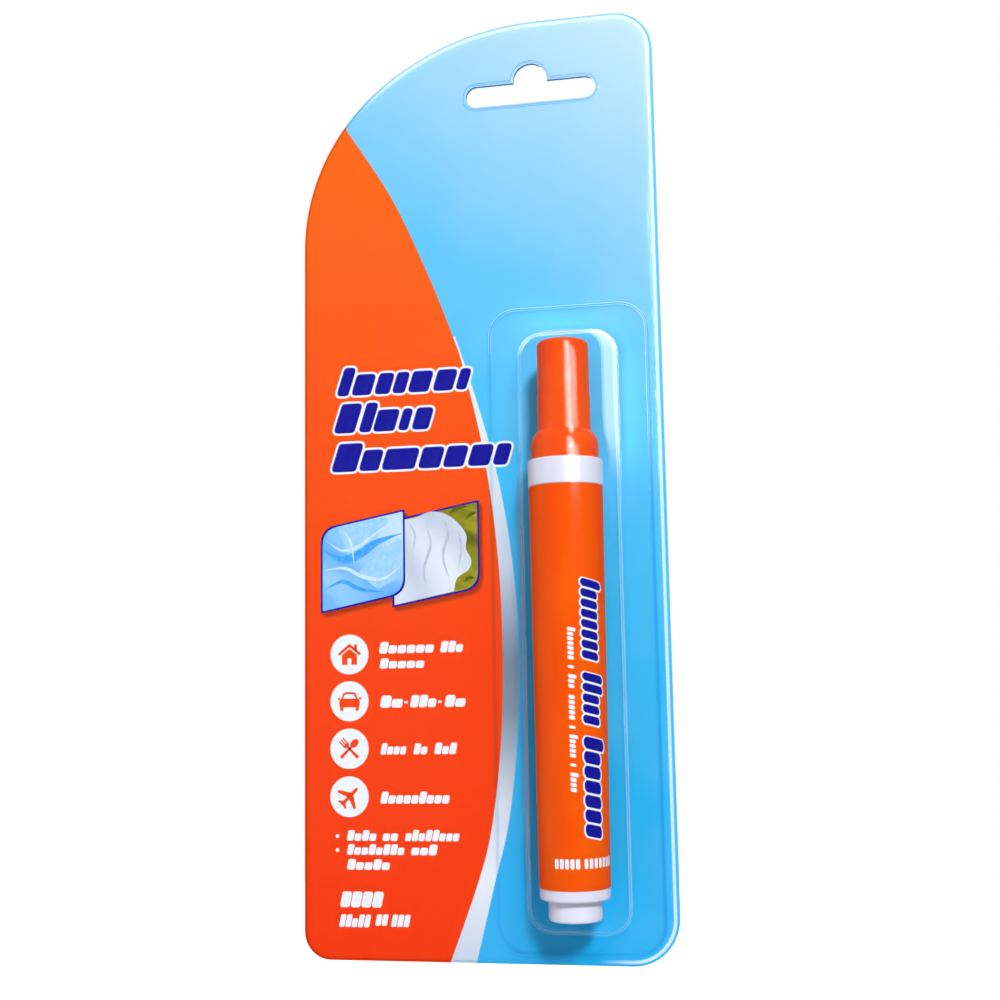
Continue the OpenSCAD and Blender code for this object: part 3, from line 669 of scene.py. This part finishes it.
# Small white words: tall and low letters, left and right end, the height they stand on and a tall letter's
WORDS = [
    ("Tsssss", -36.8, -24.2, -133.9, 2.6), ("TTs", -22.8, -17.6, -133.9, 2.5),
    ("Tssss", -36.7, -26.4, -137.2, 2.3),
    ("Ts", -36.7, -31.4, -145.8, 2.7), ("TTs", -29.8, -23.8, -145.8, 2.7), ("Ts", -22.0, -17.2, -145.8, 2.6),
    ("Tsss", -36.6, -30.7, -156.0, 2.5), ("Ts", -29.1, -25.9, -156.0, 2.4),
    ("TsT", -24.4, -19.4, -156.0, 2.5),
    ("TssssTsss", -36.7, -21.1, -166.6, 2.6),
    ("TsTs", -44.4, -37.6, -174.6, 2.3), ("ss", -36.3, -32.7, -174.6, 2.3),
    ("sTsTTsss", -31.2, -19.0, -174.6, 2.4),
    ("TssTsTTs", -44.4, -31.3, -177.6, 2.3), ("ssT", -29.9, -24.0, -177.6, 2.3),
    ("TssTs", -44.4, -34.6, -180.8, 2.3),
    ("TTTT", -46.0, -36.4, -188.8, 3.4),
    ("TTsTT", -46.2, -39.2, -193.0, 2.7), ("TT", -38.0, -35.2, -192.6, 2.4),
    ("TTT", -34.5, -30.3, -192.8, 2.6)]


def print_words():
    """Slanted blocks that stand in for the small words, with two bullets and two hyphens."""
    gap, lean, low = 0.18, 0.22, 0.7
    small = []
    for kinds, x0, x1, z, cap in WORDS:
        step = (x1 - x0) / len(kinds)
        for i, kind in enumerate(kinds):
            a, b = x0 + i * step, x0 + (i + 1) * step - gap
            tall = cap if kind == "T" else cap * low
            small.append(leaning(a, b, z, tall, lean, min(b - a, tall) * 0.3))
    small += [disc(x, z, 0.42, 16) for x, z in ((-46.45, -173.6), (-46.46, -176.6))]
    wide, tall, r = 0.8, 0.5, 0.15
    small += [leaning(x, x + wide, -144.9, tall, 0.2, r, 6) for x in (-31.0, -23.4)]
    ink("small_blocks", small, 1, "white_ink")


def strip(path, wide):
    """Outline of a strip along a path, pointed at both ends."""
    pts = smooth(path, 6)
    left, right = [], []
    for i, p in enumerate(pts):
        q0, q1 = Vector(pts[max(i - 1, 0)]), Vector(pts[min(i + 1, len(pts) - 1)])
        t = (q1 - q0).normalized()
        w = wide * math.sin(math.pi * min(max(i / (len(pts) - 1), 0.03), 0.97))
        left.append((p[0] - t.y * w, p[1] + t.x * w))
        right.append((p[0] + t.y * w, p[1] - t.x * w))
    return left + right[::-1]


def picture_right():
    """Generic picture: a white towel over an olive ground."""
    towel = smooth([(-33.0, -104.2), (-28.6, -103.9), (-24.8, -102.6), (-21.4, -103.1), (-18.4, -105.2),
                    (-16.4, -108.2), (-16.6, -111.0), (-15.4, -113.6), (-16.0, -115.8), (-18.6, -117.6),
                    (-19.4, -120.4)], 6)
    ink("tile_cloth_right", [towel + [(-19.4, -120.5), (-33.0, -123.2)]], 4, "cloth_white")
    grey = [strip([(-30.0, -104.2), (-28.2, -107.5), (-28.8, -112.0)], 0.22),
            strip([(-25.6, -105.6), (-24.6, -110.0), (-26.2, -115.4), (-25.6, -119.8)], 0.3),
            strip([(-21.8, -103.8), (-20.6, -107.6), (-21.8, -112.6), (-20.2, -118.6)], 0.36),
            strip([(-18.6, -106.2), (-17.6, -110.6), (-18.4, -115.6)], 0.26)]
    ink("tile_folds_right", grey, 5, "fold_grey")
    leaf = [strip([(-20.4, -103.4), (-18.4, -102.0), (-15.6, -101.6)], 0.45),
            strip([(-16.6, -104.6), (-15.2, -103.4), (-14.0, -103.2)], 0.4),
            strip([(-17.2, -118.6), (-16.0, -117.6), (-14.6, -117.8)], 0.4)]
    ink("tile_leaves_right", leaf, 4, "olive_dark")


def picture_left():
    """Generic picture: folded blue cloth."""
    wedge = [[(-46.4, -105.3), (-41.0, -104.3), (-33.2, -103.0), (-38.4, -109.6), (-43.2, -112.6)],
             [(-32.0, -108.2), (-31.2, -108.0), (-31.2, -116.6), (-36.8, -119.6), (-41.6, -115.6)]]
    ink("tile_wedges_left", [rounded(w, [1.2] * len(w)) for w in wedge], 7, "fold_pale")
    deep = [strip([(-49.4, -110.4), (-45.4, -112.6), (-41.2, -111.6), (-37.0, -109.0), (-31.4, -107.2)], 1.0),
            strip([(-49.4, -119.4), (-45.0, -117.6), (-41.0, -119.4), (-35.4, -120.2)], 0.5)]
    ink("tile_shades_left", deep, 8, "fold_blue")
    crease = strip([(-44.9, -105.8), (-43.0, -109.2), (-42.4, -113.4)], 0.26)
    ink("tile_crease_left", [crease], 10, "fold_light")
    upper = [(-48.9, -108.3), (-45.2, -110.6), (-41.4, -109.8), (-36.6, -106.6), (-32.4, -103.8)]
    lower = [(-49.4, -115.0), (-44.6, -114.6), (-40.4, -116.6), (-35.6, -117.2), (-31.4, -114.4)]
    ink("tile_folds_left", [strip(upper, 0.34), strip(lower, 0.45)], 9, "fold_light")


def shift(points, cx, cz, k=1.0, turn=0.0):
    c, s = math.cos(math.radians(turn)), math.sin(math.radians(turn))
    return [(cx + k * (x * c - z * s), cz + k * (x * s + z * c)) for x, z in points]


def mirror(points):
    return [(-x, z) for x, z in reversed(points)]


def house(cx, cz):
    roof = [(-2.7, 0.2), (0, 2.4), (2.7, 0.2), (2.3, -0.25), (0, 1.6), (-2.3, -0.25)]
    body = [(-1.75, -2.3), (-0.45, -2.3), (-0.45, -0.9), (0.45, -0.9), (0.45, -2.3), (1.75, -2.3),
            (1.75, -0.1), (0, 1.3), (-1.75, -0.1)]
    stack = [(1.1, 1.15), (1.1, 2.2), (1.75, 2.2), (1.75, 0.65)]
    return [shift(p, cx, cz) for p in (roof, body, stack)]


def car(cx, cz):
    lower = [(-2.3, -1.35), (2.3, -1.35), (2.4, 0.15), (1.95, 0.55), (-1.95, 0.55), (-2.4, 0.15)]
    roof = [(-1.95, 0.5), (-1.45, 1.75), (-0.9, 2.0), (0.9, 2.0), (1.45, 1.75), (1.95, 0.5), (1.5, 0.5),
            (1.1, 1.4), (0.7, 1.55), (-0.7, 1.55), (-1.1, 1.4), (-1.5, 0.5)]
    wheels = [upright(x, -2.1, 0.75, 0.8, 0.15) for x in (-2.15, 1.4)]
    mirrors = [upright(x, 0.35, 0.6, 0.45, 0.12) for x in (-2.75, 2.15)]
    return [shift(p, cx, cz) for p in [rounded(lower, [0.3] * 6), roof] + wheels + mirrors]


def fork_and_spoon(cx, cz):
    handle = rounded([(-0.42, -3.1), (0.42, -3.1), (0.25, 0.6), (-0.25, 0.6)], [0.3, 0.3, 0, 0])
    bowl = [(0.85 * math.cos(a), 1.75 + 1.25 * math.sin(a)) for a in [math.tau * k / 24 for k in range(24)]]
    neck = [(-0.8, 1.0), (-0.45, 0.55), (0.45, 0.55), (0.8, 1.0), (0.8, 1.45), (-0.8, 1.45)]
    tines = [upright(x - 0.17, 1.4, 0.34, 1.6, 0.1) for x in (-0.62, 0.0, 0.62)]
    spoon, fork = [handle, bowl], [handle, rounded(neck, [0.2] * 6)] + tines
    return [shift(p, cx, cz, 0.92, -45) for p in spoon] + [shift(p, cx, cz, 0.92, 45) for p in fork]


def plane(cx, cz):
    hull = rounded([(-0.38, -2.6), (0.38, -2.6), (0.42, 2.2), (0, 3.1), (-0.42, 2.2)],
                   [0.1, 0.1, 0.2, 0.3, 0.2])
    wing = rounded([(0.3, 1.0), (2.9, -0.7), (2.9, -1.35), (0.3, -0.45)], [0.1, 0.2, 0.2, 0.1])
    tail = rounded([(0.3, -1.7), (1.25, -2.35), (1.25, -2.8), (0.3, -2.5)], [0.1, 0.12, 0.12, 0.1])
    return [shift(p, cx, cz, 0.95, -45) for p in (hull, wing, tail, mirror(wing), mirror(tail))]


def print_card():
    print_field()
    print_title()
    print_tiles()
    print_discs()
    print_words()


# Print on the label

def on_label(angle, z, lift):
    """Point on the tapered label, by its angle from the front in degrees and its lift off the film."""
    r = LABEL_R_LOW + (LABEL_R_TOP - LABEL_R_LOW) * (z - Z_BARREL) / BARREL_H + lift
    a = math.radians(angle)
    return (PEN_X + r * math.sin(a), PEN_Y - r * math.cos(a), z)


def label_blocks(name, shapes, level, key):
    """Blocks wrapped round the label, each given by (Z of its start, length down, two angles, lean)."""
    verts, faces = [], []
    gap, ink_t, rows = 0.002, 0.004, 10
    low, high = gap + ink_t * level, gap + ink_t * (level + 1)
    for z0, length, a0, a1, lean in shapes:
        base = len(verts)
        tall = math.radians(a1 - a0) * LABEL_R_TOP
        r = min(length, tall) * 0.3
        for i in range(rows + 1):
            v = i / rows
            d = min(v, 1 - v) * tall
            cut = r - math.sqrt(max(0.0, r * r - (r - d) ** 2)) if d < r else 0.0
            start = z0 - lean * v * tall
            for lift in (high, low):
                verts += [on_label(a0 + (a1 - a0) * v, z, lift) for z in (start - cut, start - length + cut)]
        for i in range(rows):
            a, b = base + 4 * i, base + 4 * (i + 1)
            faces += [(a, a + 1, b + 1, b), (a + 2, b + 2, b + 3, a + 3), (a, b, b + 2, a + 2),
                      (a + 1, a + 3, b + 3, b + 1)]
        a, b = base, base + 4 * rows
        faces += [(a, a + 2, a + 3, a + 1), (b, b + 1, b + 3, b + 2)]
    return piece(name, verts, faces, "pen", [MATS[key]], smooth=False)


def letters(words):
    """Kind, start and step of each letter; a word is (kinds, z where it starts, z where it ends)."""
    for kinds, z0, z1 in words:
        step = (z0 - z1) / len(kinds)
        for i, kind in enumerate(kinds):
            yield kind, z0 - i * step, step


def print_label():
    navy, white = [], []
    low, lean, margin = 27.0, 0.22, 2.5
    for kind, z, step in letters([("Tsssssss", -119.3, -136.2), ("TTsss", -138.6, -149.4),
                                  ("Tssssss", -151.6, -172.0)]):
        top = 67.0 if kind == "T" else 58.0
        navy.append((z, step - 0.45, low, top, lean))
        white.append((z + 0.3, step + 0.15, low - margin, top + margin, lean))
    label_blocks("label_title_edge_a", white[0::2], 0, "white_ink")
    label_blocks("label_title_edge_b", white[1::2], 0.5, "white_ink")
    label_blocks("label_title_blocks", navy, 2, "navy")

    low, lean = 5.0, 0.2
    small = [(z, step - 0.22, low, 18.0 if kind == "T" else 14.5, lean) for kind, z, step in letters([
        ("Tssssss", -129.4, -136.2), ("s", -137.2, -138.0), ("Tss", -139.0, -142.0),
        ("sssss", -143.2, -148.4), ("s", -149.4, -150.2), ("Tssss", -151.2, -156.0),
        ("s", -157.0, -157.8), ("Tsss", -158.8, -162.9)])]
    label_blocks("label_small_blocks", small, 1, "white_ink")

    foot_z, tall, pitch = -176.1, 2.0, 8.6
    foot = [(foot_z, tall, start + i * pitch, start + wide + i * pitch, 0.0)
            for start, wide, count in ((-24.0, 6.5, 5), (24.0, 6.0, 7)) for i in range(count)]
    label_blocks("label_foot_blocks", foot, 1, "white_ink")


# The clear sheet

# Half width of the cavity's mouth, and half width and height of its crown over the pen's axis
HALF = 10.93
WIDE_BARREL, WIDE_CAP = 10.3, 9.2
R_BARREL, R_CAP = 9.53, 8.2
# Where it narrows from barrel to cap
STEP_LOW, STEP_HIGH = Z_CAP + 1.2, Z_CAP + 6.5
DEPTH_BARREL = PANEL_Y - (PEN_Y - R_BARREL)
DEPTH_CAP = PANEL_Y - (PEN_Y - R_CAP)
# Its ends, which lean in by END_LEAN degrees
END_GAP = 1.4
FLARE_TOP = PEN_Z + PEN_H + END_GAP + 2.44
FLARE_LOW = PEN_Z - END_GAP - 2.71
FOOT_H = 0.7
MOUTH_R = 5.0
END_R = 4.5
END_LEAN = 11.0
PANEL_HALF, PANEL_R, PANEL_BELOW, PANEL_ABOVE = 17.53, 6.0, 4.0, 6.0
WALL_STEPS, CROWN_STEPS, CORNER_STEPS, ACROSS = 8, 22, 7, 9
LOOKS = ("clear", "wall", "bend", "lip", "crease", "glint", "cut")


class Sheet:
    """Points and faces of the sheet while its rings are joined; each face has one of the LOOKS."""

    def __init__(self):
        self.verts, self.faces, self.looks = [], [], []

    def ring(self, points):
        """Adds points (X, Y, Z) and returns their numbers."""
        start = len(self.verts)
        self.verts.extend(points)
        return list(range(start, len(self.verts)))

    def add(self, face, look="clear"):
        self.faces.append(face)
        self.looks.append(LOOKS.index(look))

    def outward(self, inner, outer, look):
        """Faces from a ring to the one round it."""
        for i, (a, b) in enumerate(zip(inner, outer)):
            k = (i + 1) % len(inner)
            self.add((a, b, outer[k], inner[k]), look)

    def upward(self, lower, upper, look):
        """Faces from a ring of the cavity to the next one towards its crown."""
        for i, (a, b) in enumerate(zip(lower, upper)):
            k = (i + 1) % len(lower)
            self.add((a, lower[k], upper[k], b), look)

    def flat(self, outer, holes):
        """Flat faces between a ring and the rings of its holes."""
        loops = [[(self.verts[i][0], self.verts[i][2]) for i in ring] for ring in [outer] + holes]
        points, tris = fill(loops[0], loops[1:])
        names = outer + [i for hole in holes for i in hole]
        names += self.ring([(x, self.verts[outer[0]][1], z) for x, z in points[len(names):]])
        for t in tris:
            self.add(tuple(names[i] for i in t))

    def widened(self, ring, offset, y):
        """A ring moved outwards in the card's plane, at depth y."""
        places = [Vector((self.verts[i][0], self.verts[i][2])) for i in ring]
        points = []
        for i, place in enumerate(places):
            t = places[(i + 1) % len(places)] - places[i - 1]
            t.normalize()
            p = place + offset * Vector((t.y, -t.x))
            points.append((p.x, y, p.y))
        return self.ring(points)


def arch(r, wide):
    """Half of the section from the wall's foot to the crown, as (distance from the axis, height).

    The crown is r high over the pen's axis and a little wider than that."""
    axis_h = PANEL_Y - PEN_Y
    slope = (HALF - wide) / axis_h
    heights = [FOOT_H + (axis_h - FOOT_H) * k / WALL_STEPS for k in range(WALL_STEPS)]
    out = [(HALF - slope * h, h) for h in heights]
    for k in range(CROWN_STEPS + 1):
        a = math.pi / 2 * k / CROWN_STEPS
        out.append((wide * math.cos(a), r * math.sin(a) + axis_h))
    return out


def end_inset(h, depth):
    """How far an end wall has leaned in at height h over the panel."""
    a = math.radians(END_LEAN)
    knee_h = depth - END_R + END_R * math.sin(a)
    if h <= knee_h:
        return h * math.tan(a)
    rise = min(1.0, (h - depth + END_R) / END_R)
    return knee_h * math.tan(a) + END_R * (math.cos(a) - math.sqrt(max(0.0, 1 - rise * rise)))


def ease(v, low, high):
    w = max(0.0, min(1.0, (v - low) / (high - low)))
    return w * w * (3 - 2 * w)


def evenly(start, end, count):
    """Places from one step after the start to the end."""
    return [start + (end - start) * k / count for k in range(1, count + 1)]


def cavity_outline(barrel, cap):
    """Outline of the cavity at one step of the section, counter-clockwise from its lower left.

    The step is given by its (distance, height) beside the barrel and beside the cap. Each point is
    (X from the pen's axis, Z, height over the panel)."""
    z0 = FLARE_LOW + end_inset(barrel[1], DEPTH_BARREL)
    z1 = FLARE_TOP - end_inset(cap[1], DEPTH_CAP)

    def half(z):
        w = ease(z, STEP_LOW - 1.0, STEP_HIGH + 1.0)
        return [b * (1 - w) + c * w for b, c in zip(barrel, cap)]

    def corner(end, r, up, steps):
        out = []
        for k in steps:
            a = math.pi / 2 * k / CORNER_STEPS
            z = end + up * r * (1 - math.cos(a))
            wide, h = half(z)
            out.append((wide - r * (1 - math.sin(a)), z, h))
        return out

    r0, r1 = min(MOUTH_R, half(z0)[0]), min(MOUTH_R, half(z1)[0])
    steps = range(CORNER_STEPS + 1)
    neck_low, neck_high = STEP_LOW - 2.0, STEP_HIGH + 2.0
    marks = evenly(z0 + r0, neck_low, 14) + evenly(neck_low, neck_high, 14)
    marks += evenly(neck_high, z1 - r1, 5)[:-1]
    right = corner(z0, r0, 1, steps)
    right += [(half(z)[0], z, half(z)[1]) for z in marks]
    right += corner(z1, r1, -1, reversed(steps))
    (low_x, low_z, low_h), (top_x, top_z, top_h) = right[0], right[-1]
    ring = [(low_x * (2 * k / ACROSS - 1), low_z, low_h) for k in range(ACROSS)] + right
    ring += [(top_x * (1 - 2 * k / ACROSS), top_z, top_h) for k in range(1, ACROSS)]
    return ring + [(-x, z, h) for x, z, h in reversed(right[1:])]


def panel_outline(grow, y):
    """Outline of the raised panel, wider than its edge by grow, at depth y."""
    x0, x1 = PEN_X - PANEL_HALF + PANEL_R, PEN_X + PANEL_HALF - PANEL_R
    z0, z1 = FLARE_LOW - PANEL_BELOW + PANEL_R, FLARE_TOP + PANEL_ABOVE - PANEL_R
    points = []
    for x, z, start in ((x1, z0, 270), (x1, z1, 0), (x0, z1, 90), (x0, z0, 180)):
        points += arc(x, z, PANEL_R + grow, start, start + 90, 10)
    return [(x, y, z) for x, z in points]


def clear_blister():
    """The sheet: cavity as stacked outlines, one for each height, then fillets, panel and flange round it."""
    sheet = Sheet()
    levels = [sheet.ring([(PEN_X + x, PANEL_Y - h, z) for x, z, h in cavity_outline(barrel, cap)])
              for barrel, cap in zip(arch(R_BARREL, WIDE_BARREL), arch(R_CAP, WIDE_CAP))]
    # the look of the walls goes on over the start of the crown
    wall_top = WALL_STEPS + 3
    for k, (lower, upper) in enumerate(zip(levels, levels[1:])):
        sheet.upward(lower, upper, "wall" if k < wall_top else "clear")

    # the mouth's fillet: (out from the wall's foot, height over the panel, look)
    ring = levels[0]
    for offset, h, look in ((0.1, 0.42, "bend"), (0.22, 0.2, "bend"), (0.4, 0.06, "lip"), (0.65, 0.0, "lip")):
        wider = sheet.widened(levels[0], offset, PANEL_Y - h)
        sheet.outward(ring, wider, look)
        ring = wider

    # the panel's edge falls to the flange in an S: (out from its edge, below the panel, look beyond)
    slope = ((-0.25, 0.0, "clear"), (-0.08, 0.04, "clear"), (0.07, 0.18, "glint"), (0.27, 0.5, "crease"),
             (0.47, 0.82, "crease"), (0.62, 0.96, "clear"), (0.8, 1.0, "clear"))
    rings = [sheet.ring(panel_outline(grow, PANEL_Y + fall)) for grow, fall, _ in slope]
    for inner, outer, (_, _, look) in zip(rings, rings[1:], slope):
        sheet.outward(inner, outer, look)
    sheet.flat(rings[0], [ring])
    edge = sheet.ring([(x, SHEET_Y, z) for x, z in card_outline(RIM)])
    slot = sheet.ring([(x, SHEET_Y, z) for x, z in slot_outline(RIM)])
    sheet.flat(edge, [rings[-1], slot])

    obj = piece("clear_blister", sheet.verts, sheet.faces, "blister",
                [MATS[look] for look in LOOKS], picks=sheet.looks)
    weld = obj.modifiers.new("weld", "WELD")
    weld.merge_threshold = 0.002 * MM
    # the faces look out of the pack
    mesh = obj.data
    if sum(p.normal.y > 0 for p in mesh.polygons) > len(mesh.polygons) / 2:
        mesh.flip_normals()
    thick = obj.modifiers.new("thickness", "SOLIDIFY")
    thick.thickness = SHEET_T * MM
    thick.offset = -1.0
    thick.material_offset_rim = LOOKS.index("cut")
    soft = obj.modifiers.new("edge", "BEVEL")
    soft.width = 0.16 * MM
    soft.segments = 2
    soft.limit_method = "ANGLE"
    soft.angle_limit = math.radians(60)
    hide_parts("blister_shell")


# Assembly

print_card()
print_label()
clear_blister()

for name, key in {
        "printed_card": "card", "barrel": "white", "label_sleeve": "label", "end_plug": "white",
        "front_section": "white", "nib_holder": "white", "nib": "nib", "valve_seat": "valve",
        "valve_washer": "rubber", "valve_basket": "valve", "valve_stem": "valve", "valve_spring": "wire",
        "cap": "cap", "cap_liner": "liner", "cleaning_fluid": "liquid"}.items():
    for entry in node_of[name].material_slots:
        entry.material = MATS[key]


# Floor, light and camera

# The camera, fitted to the photo: place in mm, angles in degrees, focal length and picture in pixels
CAMERA = (49.28, -298.28, -138.80)
AZIMUTH, ELEVATION, ROLL = 11.023, -7.185, -1.023
FOCAL, PICTURE = 1378.52, 1000.0
SENSOR = 36.0


def floor_material():
    s = Shade("floor")
    at = s.coords()
    grain = s.mix(s.noise(at, 0.02, 3.0), (0.38, 0.38, 0.38, 1), (0.4, 0.4, 0.4, 1))
    matt = s.node("ShaderNodeBsdfDiffuse", {"Color": grain})
    # the lamps fall off outwards, so the floor is lifted to the same white there
    x, y, _ = s.xyz(at)
    near, far = 220.0, 550.0
    lift = s.span(s.length(x, y), near * MM, far * MM, 0.58, 0.8)
    glow = s.node("ShaderNodeEmission", {"Color": (1, 1, 1, 1), "Strength": lift})
    both = s.node("ShaderNodeAddShader", {0: matt, 1: glow})
    return s.finish(s.blend(s.seen(), matt, both))


def white_floor():
    drop, r, n = 110.0, 900.0, 64
    z = CARD_B - drop
    verts = [(r * math.cos(math.tau * i / n) * MM, r * math.sin(math.tau * i / n) * MM, z * MM)
             for i in range(n)]
    mesh = bpy.data.meshes.new("floor")
    mesh.from_pydata(verts, [], [tuple(range(n))])
    floor = bpy.data.objects.new("floor", mesh)
    bpy.context.scene.collection.objects.link(floor)
    mesh.materials.append(floor_material())


def white_room():
    """World that looks white and lights the pack only a little."""
    s = Shade("studio", world=True)
    dim = s.node("ShaderNodeBackground", {0: (0.95, 0.97, 1.0, 1), 1: 0.2})
    bright = s.node("ShaderNodeBackground", {0: (1, 1, 1, 1), 1: 1.0})
    bpy.context.scene.world = s.finish(s.blend(s.seen(), dim, bright))


def lamp(name, place, target, width, height, power):
    light = bpy.data.lights.new(name, "AREA")
    light.shape = "RECTANGLE"
    light.size, light.size_y = width * MM, height * MM
    light.energy = power
    obj = bpy.data.objects.new(name, light)
    bpy.context.scene.collection.objects.link(obj)
    place, target = Vector(place) * MM, Vector(target) * MM
    obj.location = place
    obj.rotation_euler = (target - place).to_track_quat("-Z", "Y").to_euler()
    return obj


def camera():
    azimuth, elevation, roll = math.radians(AZIMUTH), math.radians(ELEVATION), math.radians(ROLL)
    back = Vector((math.sin(azimuth) * math.cos(elevation), -math.cos(azimuth) * math.cos(elevation),
                   math.sin(elevation)))
    right = (-back).cross(Vector((0, 0, 1))).normalized()
    up = right.cross(-back)
    side = math.cos(roll) * right + math.sin(roll) * up
    top = -math.sin(roll) * right + math.cos(roll) * up
    cam = bpy.data.cameras.new("camera")
    cam.sensor_width = SENSOR
    cam.lens = FOCAL / PICTURE * SENSOR
    cam.clip_start, cam.clip_end = 0.005, 20.0
    obj = bpy.data.objects.new("camera", cam)
    bpy.context.scene.collection.objects.link(obj)
    turn = Matrix((side, top, back)).transposed().to_4x4()
    obj.matrix_world = Matrix.Translation(Vector(CAMERA) * MM) @ turn
    bpy.context.scene.camera = obj


white_floor()
white_room()
camera()
lamp("key", (517, -1162, 695), (-5, 0, -100), 260, 260, 21.2)
lamp("fill", (-420, -380, -20), (-10, 0, -100), 400, 500, 0.6)
lamp("rear", (-300, 1150, 350), (-10, 0, -100), 400, 400, 12.0)
# a soft box that only shows as the long highlight on the cap
lamp("strip", (175, -350, 40), (7, -9, -80), 160, 170, 4.6).visible_diffuse = False

bpy.context.scene.view_settings.view_transform = "Standard"
